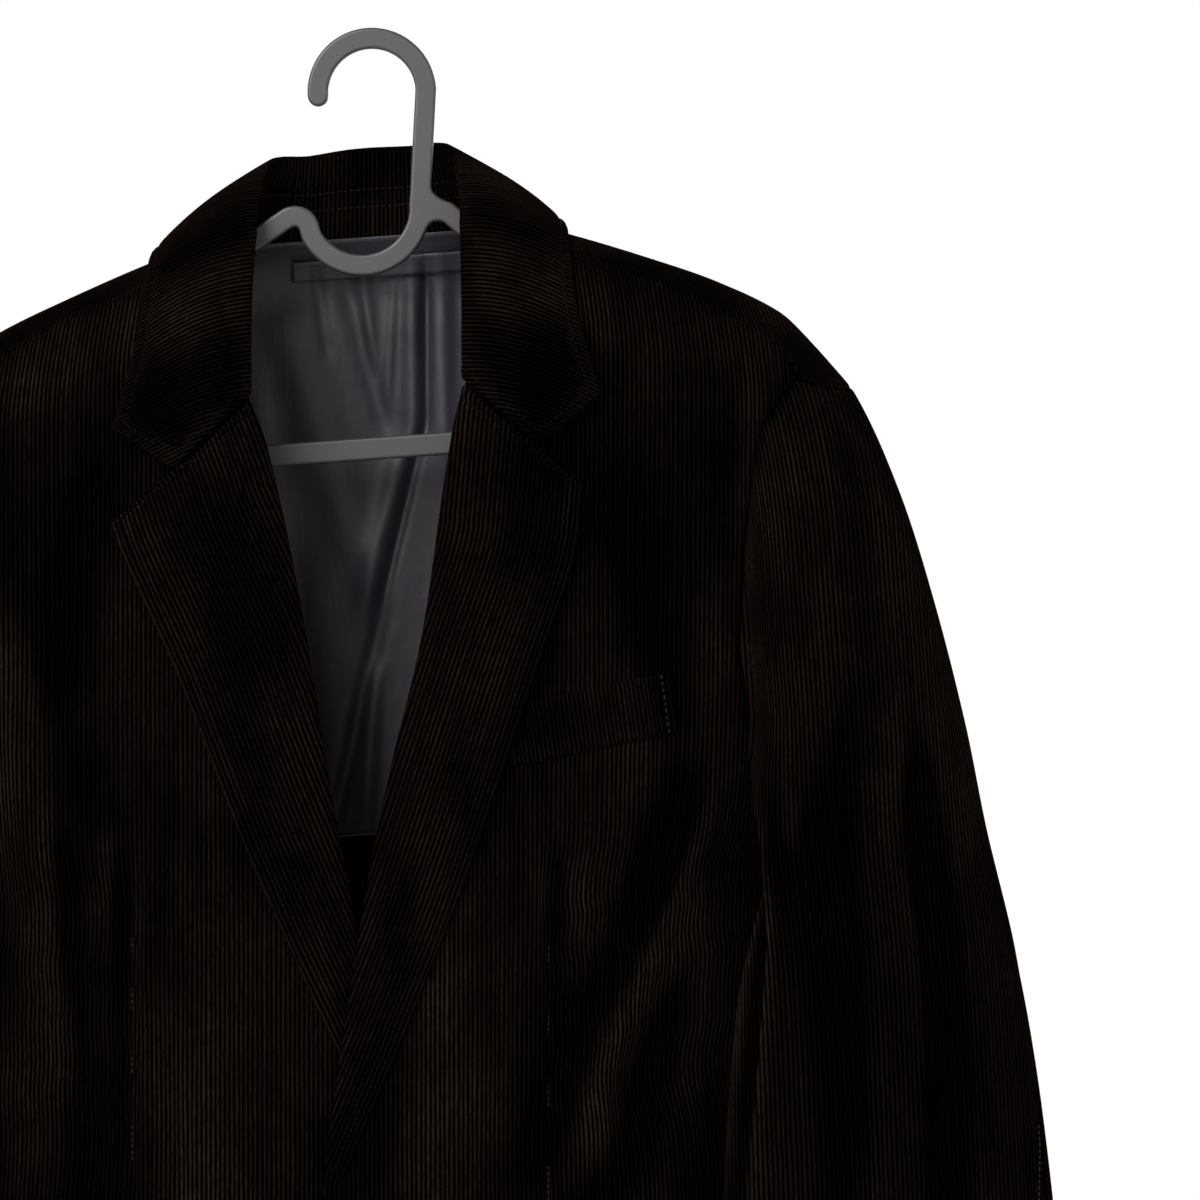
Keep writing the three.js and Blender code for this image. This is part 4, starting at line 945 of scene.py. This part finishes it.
def corduroyGroup():
    tree, given, out = newGroup(
        "corduroyWales",
        {"Cut": "Vector", "Place": "Vector", "Fold Shade": "Float", "Pitch": "Float", "Ridge": "Color",
         "Groove Shade": "Color", "Wear": "Float"},
        {"Base Color": "Color", "Roughness": "Float", "Bump Height": "Float"})
    cut = addNode(tree, "ShaderNodeSeparateXYZ", {0: given["Cut"]})
    u, v = cut.outputs[0], cut.outputs[1]
    drift = noise(tree, stretched(tree, u, v, 260.0, 22.0), 1.0, 2.0)
    wander = calc(tree, "MULTIPLY", calc(tree, "SUBTRACT", drift, 0.5), 0.0011)
    phase = calc(tree, "DIVIDE", calc(tree, "ADD", u, wander), given["Pitch"])
    across = calc(tree, "ABSOLUTE", calc(tree, "SUBTRACT", calc(tree, "FRACT", phase), 0.5))
    hump = ramp(tree, across, 0.42, 0.06)
    # Each wale has its own shade and breaks along its length where the nap lies over.
    wale = addNode(tree, "ShaderNodeTexWhiteNoise", {"W": calc(tree, "FLOOR", phase)}, noise_dimensions="1D")
    clumps = noise(tree, stretched(tree, u, v, 620.0, 170.0, 3.0), 1.0, 3.0, 0.6)
    pile = noise(tree, stretched(tree, u, v, 3600.0, 1500.0, 7.0), 1.0, 2.0, 0.6)
    spot = addNode(tree, "ShaderNodeSeparateXYZ", {0: given["Place"]}).outputs
    nap = addNode(tree, "ShaderNodeCombineXYZ", {
        0: calc(tree, "MULTIPLY", spot[0], 24.0), 1: calc(tree, "MULTIPLY", spot[1], 12.0),
        2: calc(tree, "MULTIPLY", spot[2], 7.0)}).outputs[0]
    shade = ramp(tree, noise(tree, nap, 1.0, 3.0, 0.55), 0.34, 0.66)
    worn = ramp(tree, noise(tree, given["Place"], 34.0, 4.0, 0.65), 0.42, 0.72)
    lift = calc(tree, "MULTIPLY", hump, ramp(tree, clumps, 0.3, 0.62, 0.45, 1.0))
    lift = calc(tree, "MULTIPLY", lift, calc(tree, "MULTIPLY_ADD", wale.outputs[0], 0.35, 0.72))
    # Painted shade: the grooves between wales take the near-black groove colour, the wale tops the ridge colour.
    color = blendColor(tree, lift, given["Groove Shade"], given["Ridge"])
    level = calc(tree, "MULTIPLY_ADD", shade, 0.95, 0.5)
    level = calc(tree, "MULTIPLY", level, ramp(tree, pile, 0.3, 0.7, 0.4, 1.6))
    # Painted highlight and painted shade: fold ridges lighter, fold troughs darker.
    level = calc(tree, "MULTIPLY", level, ramp(tree, given["Fold Shade"], -1.6, 1.6, 0.3, 1.9))
    rubbed = calc(tree, "MULTIPLY", worn, given["Wear"])
    level = calc(tree, "MULTIPLY", level, calc(tree, "MULTIPLY_ADD", rubbed, 0.5, 1.0))
    tree.links.new(blendColor(tree, 1.0, color, addNode(
        tree, "ShaderNodeCombineXYZ", {0: level, 1: level, 2: level}).outputs[0], "MULTIPLY"), out["Base Color"])
    tree.links.new(calc(tree, "MULTIPLY_ADD", pile, 0.16, 0.78), out["Roughness"])
    height = calc(tree, "MULTIPLY_ADD", pile, 0.22, calc(tree, "MULTIPLY_ADD", clumps, 0.25, hump))
    tree.links.new(height, out["Bump Height"])
    return tree


corduroyNodes = corduroyGroup()


def newMaterial(name):
    material = bpy.data.materials.new(name)
    material.use_nodes = True
    tree = material.node_tree
    return material, tree, tree.nodes["Principled BSDF"]


def setShader(shader, **values):
    for key, value in values.items():
        shader.inputs[key.replace("_", " ")].default_value = value


def cutAndPlace(tree):
    cut = addNode(tree, "ShaderNodeUVMap", uv_map="cut").outputs[0]
    return cut, addNode(tree, "ShaderNodeTexCoord").outputs["Object"]


def bumped(tree, height, strength, distance, under=None):
    inputs = {"Height": height, "Strength": strength, "Distance": distance}
    if under:
        inputs["Normal"] = under
    return addNode(tree, "ShaderNodeBump", inputs).outputs[0]


# The groove colour is painted shade: the grooves between wales are drawn nearly black in place of shade from their
# depth.
corduroyLook = {
    "ridge": (0.0033, 0.0021, 0.0016, 1), "groove": (0.0001, 0.00005, 0.00005, 1), "sheen": 0.006,
    "sheenTint": (0.62, 0.4, 0.3, 1), "bump": 0.9, "depth": 0.0006}


def corduroyMaterial(name, pitch, wear=1.0, ridge=1.0):
    look = corduroyLook
    material, tree, shader = newMaterial(name)
    cut, place = cutAndPlace(tree)
    wales = addNode(tree, "ShaderNodeGroup", node_tree=corduroyNodes)
    tree.links.new(cut, wales.inputs["Cut"])
    tree.links.new(place, wales.inputs["Place"])
    # Painted fold highlight and shade, read from the fold attribute.
    fold = addNode(tree, "ShaderNodeAttribute", attribute_name="fold")
    tree.links.new(fold.outputs["Fac"], wales.inputs["Fold Shade"])
    wales.inputs["Pitch"].default_value = pitch
    wales.inputs["Wear"].default_value = wear
    wales.inputs["Ridge"].default_value = [c * ridge for c in look["ridge"][:3]] + [1]
    wales.inputs["Groove Shade"].default_value = look["groove"]
    tree.links.new(wales.outputs["Base Color"], shader.inputs["Base Color"])
    tree.links.new(wales.outputs["Roughness"], shader.inputs["Roughness"])
    bump = bumped(tree, wales.outputs["Bump Height"], look["bump"], look["depth"])
    tree.links.new(bump, shader.inputs["Normal"])
    setShader(shader, Sheen_Weight=look["sheen"], Sheen_Roughness=0.45, Sheen_Tint=look["sheenTint"],
              Specular_IOR_Level=0.0)
    return material


def liningMaterial():
    material, tree, shader = newMaterial("liningSatin")
    cut, place = cutAndPlace(tree)
    parts = addNode(tree, "ShaderNodeSeparateXYZ", {0: cut})
    u, v = parts.outputs[0], parts.outputs[1]
    threads = noise(tree, stretched(tree, u, v, 1400.0, 5200.0), 1.0, 2.0)
    crush = noise(tree, stretched(tree, u, v, 46.0, 12.0, 2.0), 1.0, 4.0, 0.6)
    fine = noise(tree, place, 70.0, 4.0, 0.62)
    tone = calc(tree, "MULTIPLY_ADD", threads, 0.25, calc(tree, "MULTIPLY_ADD", crush, 0.3, 0.2))
    color = blendColor(tree, tone, (0.0075, 0.0066, 0.0098, 1), (0.021, 0.0186, 0.0255, 1))
    tree.links.new(color, shader.inputs["Base Color"])
    tree.links.new(calc(tree, "MULTIPLY_ADD", threads, 0.12, 0.42), shader.inputs["Roughness"])
    height = calc(tree, "MULTIPLY_ADD", fine, 0.5, crush)
    soft = bumped(tree, height, 0.35, 0.002)
    tree.links.new(bumped(tree, threads, 0.25, 0.00025, soft), shader.inputs["Normal"])
    setShader(shader, Sheen_Weight=0.12, Sheen_Roughness=0.35, Sheen_Tint=(0.75, 0.74, 0.8, 1),
              Specular_IOR_Level=0.32, Anisotropic=0.3)
    return material


def plasticMaterial(name, color, roughness, coat=0.0):
    material, tree, shader = newMaterial(name)
    place = addNode(tree, "ShaderNodeTexCoord").outputs["Object"]
    cloud = noise(tree, place, 26.0, 3.0, 0.6)
    grain = noise(tree, place, 2600.0, 1.0)
    scuff = noise(tree, place, 240.0, 4.0, 0.7)
    darker = [c * 0.86 for c in color] + [1]
    tree.links.new(blendColor(tree, cloud, darker, list(color) + [1]), shader.inputs["Base Color"])
    tree.links.new(calc(tree, "MULTIPLY_ADD", scuff, 0.16, roughness - 0.08), shader.inputs["Roughness"])
    height = calc(tree, "MULTIPLY_ADD", grain, 0.5, cloud)
    tree.links.new(bumped(tree, height, 0.12, 0.0004), shader.inputs["Normal"])
    setShader(shader, Coat_Weight=coat, Coat_Roughness=0.2, Specular_IOR_Level=0.45)
    return material


def threadMaterial(name, color):
    material, tree, shader = newMaterial(name)
    place = addNode(tree, "ShaderNodeTexCoord").outputs["Object"]
    twist = noise(tree, place, 2200.0, 2.0)
    darker = [c * 0.6 for c in color] + [1]
    tree.links.new(blendColor(tree, twist, darker, list(color) + [1]), shader.inputs["Base Color"])
    tree.links.new(bumped(tree, twist, 0.5, 0.0001), shader.inputs["Normal"])
    setShader(shader, Roughness=0.7, Specular_IOR_Level=0.04)
    return material


frontCloth = corduroyMaterial("corduroyFront", 0.00219)
backCloth = corduroyMaterial("corduroyBack", 0.0022)
sleeveCloth = corduroyMaterial("corduroySleeve", 0.00228)
collarCloth = corduroyMaterial("corduroyCollar", 0.00214)
standCloth = corduroyMaterial("corduroyStand", 0.0021, 0.6)
lapelCloth = corduroyMaterial("corduroyLapel", 0.00225)
weltCloth = corduroyMaterial("corduroyWelt", 0.002)
liningCloth = liningMaterial()
hangerPlastic = plasticMaterial("hangerPlastic", (0.0185, 0.0185, 0.0205), 0.5)
buttonPlastic = plasticMaterial("buttonPlastic", (0.022, 0.021, 0.023), 0.3, 0.3)
darkThread = threadMaterial("darkThread", (0.0022, 0.0015, 0.0012))
brownThread = threadMaterial("brownThread", (0.02, 0.0105, 0.0062))
print("materials ready")


# Hanger: a flat moulding, outlined in its own plane with filleted joints.
hangerSize = {"half": 4.9, "barHalf": 5.3, "bevel": 1.3, "thick": 9.0, "fillet": 9.0, "step": 0.8}
hangerArm = table(
    "across level",
    (49, -87), (75, -97.6), (100, -105.7), (150, -125.5), (182, -143.6), (192, -156), (194, -170),
    (188, -184), (172, -190))


def arcRun(x, z, radius, start, end, count):
    angles = np.radians(np.linspace(start, end, count))
    return np.stack([x + radius * np.cos(angles), z + radius * np.sin(angles)], -1)


def armRun(side):
    across = np.array([row["across"] for row in hangerArm], float)
    level = np.array([row["level"] for row in hangerArm], float)
    points = np.stack([side * across + jacketMiddle, level + hangSlope * side * across], -1)
    ends = np.concatenate([[2 * points[0] - points[1]], points, [2 * points[-1] - points[-2]]])
    run = []
    for k in range(len(points) - 1):
        a, b, c, d = ends[k:k + 4]
        for t in np.linspace(0, 1, 9)[:-1]:
            run.append(0.5 * (2 * b + (c - a) * t + (2 * a - 5 * b + 4 * c - d) * t ** 2
                              + (3 * b - a - 3 * c + d) * t ** 3))
    return np.array(run + [points[-1]])


def roundedJoin(a, b, radius):
    share = np.maximum(radius - np.abs(a - b), 0) / radius
    return np.minimum(a, b) - share * share * radius * 0.25


def outlineLoops(field, originX, originZ, step):
    edges = {}
    inside = field < 0
    code = (inside[:-1, :-1] * 1 + inside[:-1, 1:] * 2 + inside[1:, 1:] * 4 + inside[1:, :-1] * 8)
    segments = {
        1: "LB", 2: "BR", 3: "LR", 4: "RT", 6: "BT", 7: "LT", 8: "TL", 9: "TB", 11: "TR", 12: "RL", 13: "RB",
        14: "BL", 5: "LBRT", 10: "BRTL"}
    for r, c in zip(*np.nonzero((code > 0) & (code < 15))):
        names = segments[int(code[r, c])]
        ends = {"B": ("h", r, c), "T": ("h", r + 1, c), "L": ("v", r, c), "R": ("v", r, c + 1)}
        for k in range(0, len(names), 2):
            edges[ends[names[k]]] = ends[names[k + 1]]

    def spot(edge):
        kind, r, c = edge
        low = field[r, c]
        high = field[r, c + 1] if kind == "h" else field[r + 1, c]
        t = low / (low - high)
        return (originX + (c + (t if kind == "h" else 0)) * step, originZ + (r + (0 if kind == "h" else t)) * step)
    loops = []
    while edges:
        first, after = edges.popitem()
        loop = [spot(first)]
        while after != first:
            loop.append(spot(after))
            after = edges.pop(after)
        loops.append(np.array(loop))
    return loops


def hangerOutline():
    size = hangerSize
    step = size["step"]
    x, z = np.meshgrid(np.arange(-212, 200, step), np.arange(-222, 10, step))
    hook = arcRun(0, -20.7, 25.6, 184, 3, 60)
    dip = arcRun(-4.7, -75.2, 27.5, 4, -150, 60)
    hump = arcRun(-36.5, -86.5, 7, 20, 118, 14)
    stem = np.concatenate([hook, dip, hump, armRun(-1)])
    branch = np.concatenate([[[29.5, -75.6], [36, -77.6]], armRun(1)])
    bar = np.array([[side * 178 + jacketMiddle, -190 + hangSlope * side * 178] for side in (-1, 1)])
    shank = distanceTo(stem, x, z) - size["half"]
    arms = distanceTo(branch, x, z) - size["half"]
    field = roundedJoin(shank, arms, size["fillet"])
    field = roundedJoin(field, distanceTo(bar, x, z) - size["barHalf"], size["fillet"])
    return outlineLoops(field + size["bevel"], -212, -222, step)


def hangerPiece():
    size = hangerSize
    curve = bpy.data.curves.new("hangerOutline", "CURVE")
    curve.dimensions = "2D"
    curve.fill_mode = "BOTH"
    curve.extrude = (size["thick"] / 2 - size["bevel"]) * mm
    curve.bevel_depth = size["bevel"] * mm
    curve.bevel_resolution = 3
    for loop in hangerOutline():
        for _ in range(2):
            loop = (loop + np.roll(loop, 1, 0) + np.roll(loop, -1, 0)) / 3
        spline = curve.splines.new("POLY")
        spline.points.add(len(loop) - 1)
        flat = np.concatenate([loop * mm, np.zeros((len(loop), 1)), np.ones((len(loop), 1))], -1)
        spline.points.foreach_set("co", flat.ravel())
        spline.use_cyclic_u = True
    holder = bpy.data.objects.new("hangerCurve", curve)
    bpy.context.scene.collection.objects.link(holder)
    mesh = bpy.data.meshes.new_from_object(holder)
    bpy.data.objects.remove(holder)
    coords = np.empty(len(mesh.vertices) * 3)
    mesh.vertices.foreach_get("co", coords)
    coords = coords.reshape(-1, 3)[:, [0, 2, 1]] * np.array([1, -1, 1])
    mesh.vertices.foreach_set("co", coords.ravel())
    mesh.materials.clear()
    mesh.materials.append(hangerPlastic)
    mesh.set_sharp_from_angle(angle=math.radians(35))
    mesh.update()
    piece = bpy.data.objects.new("hangerMoulding", mesh)
    bpy.context.scene.collection.objects.link(piece)
    return piece


hangerLook = hangerPiece()
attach(hangerLook, "root")
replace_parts(hangerLook, "hanger")
print("hanger ready", len(hangerLook.data.polygons))


# Stitches: short capsules set along a path, sized and turned by a node tree.
def stitchTree():
    tree = bpy.data.node_groups.new("stitches", "GeometryNodeTree")
    tree.interface.new_socket("Path", in_out="INPUT", socket_type="NodeSocketGeometry")
    for word in ("Spacing", "Length", "Radius"):
        tree.interface.new_socket(word, in_out="INPUT", socket_type="NodeSocketFloat")
    tree.interface.new_socket("Seed", in_out="INPUT", socket_type="NodeSocketInt")
    tree.interface.new_socket("Thread", in_out="INPUT", socket_type="NodeSocketMaterial")
    tree.interface.new_socket("Stitches", in_out="OUTPUT", socket_type="NodeSocketGeometry")
    given = addNode(tree, "NodeGroupInput").outputs
    curve = addNode(tree, "GeometryNodeMeshToCurve", {"Mesh": given["Path"]})
    even = addNode(
        tree, "GeometryNodeResampleCurve", {"Curve": curve.outputs[0], "Length": given["Spacing"]}, mode="LENGTH")
    dot = addNode(tree, "GeometryNodeMeshUVSphere", {"Segments": 6, "Rings": 5, "Radius": 1.0})
    jitter = addNode(
        tree, "FunctionNodeRandomValue", {2: 0.8, 3: 1.1, "Seed": given["Seed"]}, data_type="FLOAT")
    half = calc(tree, "MULTIPLY", given["Length"], 0.5)
    long = calc(tree, "MULTIPLY", half, jitter.outputs[1])
    scale = addNode(
        tree, "ShaderNodeCombineXYZ", {0: given["Radius"], 1: given["Radius"], 2: long})
    turn = addNode(
        tree, "FunctionNodeAlignRotationToVector",
        {"Vector": addNode(tree, "GeometryNodeInputTangent").outputs[0]}, axis="Z")
    spots = addNode(tree, "GeometryNodeCaptureAttribute", {"Geometry": even.outputs[0]})
    spots.capture_items.new("ROTATION", "Turn")
    tree.links.new(turn.outputs[0], spots.inputs[1])
    placed = addNode(
        tree, "GeometryNodeInstanceOnPoints",
        {"Points": spots.outputs[0], "Instance": dot.outputs[0], "Rotation": spots.outputs[1],
         "Scale": scale.outputs[0]})
    real = addNode(tree, "GeometryNodeRealizeInstances", {"Geometry": placed.outputs[0]})
    painted = addNode(
        tree, "GeometryNodeSetMaterial", {"Geometry": real.outputs[0], "Material": given["Thread"]})
    tree.links.new(painted.outputs[0], addNode(tree, "NodeGroupOutput").inputs[0])
    return tree


stitchNodes = stitchTree()


def stitchPiece(name, paths, thread, spacing, length, radius, seed):
    verts, edges = [], []
    for path in paths:
        start = len(verts)
        verts += [tuple(p) for p in np.asarray(path) * mm]
        edges += [(k, k + 1) for k in range(start, len(verts) - 1)]
    line = bpy.data.meshes.new(name + "Path")
    line.from_pydata(verts, edges, [])
    holder = bpy.data.objects.new(name, line)
    bpy.context.scene.collection.objects.link(holder)
    modifier = holder.modifiers.new("stitches", "NODES")
    modifier.node_group = stitchNodes
    values = {
        "Spacing": spacing * mm, "Length": length * mm, "Radius": radius * mm, "Seed": seed, "Thread": thread}
    for item in stitchNodes.interface.items_tree:
        if item.in_out == "INPUT" and item.name in values:
            modifier[item.identifier] = values[item.name]
    holder.update_tag()
    graph = bpy.context.evaluated_depsgraph_get()
    mesh = bpy.data.meshes.new_from_object(holder.evaluated_get(graph))
    holder.modifiers.clear()
    holder.data = mesh
    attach(holder, "root")
    return holder


# Buttons: a turned disc with a rim and a dished middle, sewn on with crossed thread.
buttonSize = {"around": 48, "clear": 4.8, "lift": 0.4, "threadLift": 2.15, "threadAt": 2.2}
buttonProfile = (
    (0.0, 1.9), (4.6, 1.9), (6.2, 2.2), (7.2, 3.2), (8.2, 3.4), (9.3, 3.0), (10.0, 1.9), (9.6, 0.7), (8.2, 0.1),
    (0.0, 0.0))


def buttonPiece(name, level):
    size = buttonSize
    around = size["around"]
    angles = np.arange(around) * 2 * math.pi / around
    verts = [(r * math.cos(a), -h, r * math.sin(a)) for r, h in buttonProfile[1:-1] for a in angles]
    verts += [(0, -buttonProfile[0][1], 0), (0, 0, 0)]
    faces = []
    rings = len(buttonProfile) - 2
    for r in range(rings - 1):
        for k in range(around):
            n = (k + 1) % around
            faces.append((r * around + k, (r + 1) * around + k, (r + 1) * around + n, r * around + n))
    faces += [(rings * around, k, (k + 1) % around) for k in range(around)]
    back = (rings - 1) * around
    faces += [(rings * around + 1, back + (k + 1) % around, back + k) for k in range(around)]
    place = hang(np.array([0.0, float(bodyDepth(0, level, -1)) - size["clear"], level]), 1)
    mesh = bpy.data.meshes.new(name)
    mesh.from_pydata([tuple((np.array(v) + place - [0, size["lift"], 0]) * mm) for v in verts], [], faces)
    mesh.polygons.foreach_set("use_smooth", np.ones(len(faces), bool))
    mesh.materials.append(buttonPlastic)
    mesh.update()
    piece = bpy.data.objects.new(name, mesh)
    bpy.context.scene.collection.objects.link(piece)
    spots = (-size["threadAt"], size["threadAt"])
    holes = [np.array([x, -size["threadLift"], z]) + place for x in spots for z in spots]
    crossed = [np.array([holes[0], holes[3]]), np.array([holes[1], holes[2]])]
    threads = stitchPiece(name + "_thread", crossed, darkThread, 9, 5.6, 0.5, 2)
    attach(piece, "root")
    return piece


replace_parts(buttonPiece("button_upper_disc", -552), "button_upper")
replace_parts(buttonPiece("button_lower_disc", -657), "button_lower")


# Cloth pieces: each cut piece is one closed shell.
sheetCuts = table(
    "name cloth material wide tall area restsOn slot",
    ("front_left", 1.5, frontCloth, 0.30, 0.77, 0.149, "hanger", "corduroy"),
    ("front_right", 1.5, frontCloth, 0.30, 0.77, 0.149, "hanger", "corduroy"),
    ("back_left", 1.5, backCloth, 0.27, 0.80, 0.163, "hanger", "corduroy"),
    ("back_right", 1.5, backCloth, 0.27, 0.80, 0.163, "hanger", "corduroy"),
    ("sleeve_top_left", 1.5, sleeveCloth, 0.22, 0.65, 0.101, "front_left", "corduroy"),
    ("sleeve_top_right", 1.5, sleeveCloth, 0.22, 0.65, 0.101, "front_right", "corduroy"),
    ("sleeve_under_left", 1.5, sleeveCloth, 0.19, 0.62, 0.082, "back_left", "corduroy"),
    ("sleeve_under_right", 1.5, sleeveCloth, 0.19, 0.62, 0.082, "back_right", "corduroy"),
    ("lapel_left", 2.0, lapelCloth, 0.09, 0.38, 0.016, "front_left", "corduroy"),
    ("lapel_right", 2.0, lapelCloth, 0.09, 0.36, 0.016, "front_right", "corduroy"),
    ("collar_fall", 2.0, collarCloth, 0.50, 0.075, 0.028, "back_left", "corduroy"),
    ("collar_stand", 1.5, standCloth, 0.27, 0.045, 0.009, "back_left", "corduroy"),
    ("breast_welt", 1.6, weltCloth, 0.10, 0.032, 0.003, "front_left", "corduroy"),
    ("back_lining", 0.9, liningCloth, 0.32, 0.29, 0.08, "back_left", "lining"),
    ("hanger_loop", 0.9, liningCloth, 0.10, 0.012, 0.001, "back_lining", "lining"))
clothPieces = {}
for row in sheetCuts:
    points, outward, spread = jacketBits[row["name"]]
    piece = clothShell(
        row["name"] + "_cloth", points, row["cloth"], outward, spread, row["material"])
    clothPieces[row["name"]] = piece
    area = sum(p.area for p in piece.data.polygons) / 2
    print("cloth", row["name"], "area", round(area, 4), "triangles", 2 * len(piece.data.polygons))
    finishSheet(
        piece, (row["name"],))


# Seam stitches lie just clear of the cloth that they run on.
def raised(name, lift):
    points = jacketBits[name][0]
    return points + gridNormals(points) * lift


def sleeveSeam(name, lift):
    grid = raised(name, lift)
    return grid[int(len(grid) * 0.62):int(len(grid) * 0.99), 4]


seamPaths = [sleeveSeam("sleeve_top_left", 0.2), sleeveSeam("sleeve_top_right", -0.2)]
weltOut = raised("breast_welt", -0.2)
standOut = raised("collar_stand", -0.2)
liningOut = raised("back_lining", -0.15)
paleStitches = stitchPiece(
    "seam_stitches", dartPaths + seamPaths + [weltOut[2:-2, -6]], brownThread, 2.9, 2.2, 0.3, 5)
standRows = [standOut[9, 20:-20], standOut[13, 20:-20]]
standStitches = stitchPiece("stand_stitches", standRows, brownThread, 3.0, 2.1, 0.2, 7)
hemStitches = stitchPiece("lining_stitches", [liningOut[-4, 4:-4]], darkThread, 2.6, 1.8, 0.16, 9)
edgeStitches = stitchPiece(
    "edge_topstitch", [path for path in stitchPaths if len(path) > 2], darkThread, 3.1, 2.3, 0.24, 3)
print("stitches", len(edgeStitches.data.polygons))


def lamp(name, energy, size, place, aim):
    light = bpy.data.lights.new(name, "AREA")
    light.shape = "RECTANGLE"
    light.size, light.size_y = size
    light.energy = energy
    holder = bpy.data.objects.new(name, light)
    bpy.context.scene.collection.objects.link(holder)
    holder.location = place
    holder.rotation_euler = (Vector(aim) - Vector(place)).to_track_quat("-Z", "Y").to_euler()


# Soft studio: a white room, a wide key from the viewer's left and above, a weak fill.
lamp("key", 270, (2.2, 2.2), (-1.6, -2.6, 1.4), (0.0, 0.0, -0.35))
lamp("fill", 30, (2.4, 2.4), (2.4, -2.2, 0.2), (0.0, 0.0, -0.4))
lamp("back", 70, (2.0, 2.0), (1.2, 2.8, 0.9), (0.0, 0.0, -0.35))
world = bpy.data.worlds.new("room")
world.use_nodes = True
sky = world.node_tree
ray = addNode(sky, "ShaderNodeTexCoord").outputs["Generated"]
height = calc(sky, "ABSOLUTE", addNode(sky, "ShaderNodeSeparateXYZ", {0: ray}).outputs[2])
sky.links.new(ramp(sky, height, 0.34, 0.62, 1.0, 0.25), sky.nodes["Background"].inputs["Strength"])
sky.nodes["Background"].inputs["Color"].default_value = (1, 1, 1, 1)
bpy.context.scene.world = world
bpy.context.scene.view_settings.view_transform = "Standard"

floorMesh = bpy.data.meshes.new("floor")
floorHalf = 1.5
floorLevel = -1.0
corners = ((-1, -1), (1, -1), (1, 1), (-1, 1))
floorVerts = [(x * floorHalf, y * floorHalf, floorLevel) for x, y in corners]
floorMesh.from_pydata(floorVerts, [], [(0, 1, 2, 3)])
floorMaterial, floorTree, floorShader = newMaterial("floorPaint")
setShader(floorShader, Base_Color=(0.8, 0.8, 0.8, 1), Roughness=0.8)
floorMesh.materials.append(floorMaterial)
floor = bpy.data.objects.new("floor", floorMesh)
bpy.context.scene.collection.objects.link(floor)

cameraView = {"sensor": 36, "lens": 319, "place": (0.1081, -5.04, -0.2613)}
lens = bpy.data.cameras.new("camera")
lens.sensor_width = cameraView["sensor"]
lens.lens = cameraView["lens"]
camera = bpy.data.objects.new("camera", lens)
bpy.context.scene.collection.objects.link(camera)
camera.location = cameraView["place"]
camera.rotation_euler = (math.radians(90), 0, 0)
bpy.context.scene.camera = camera
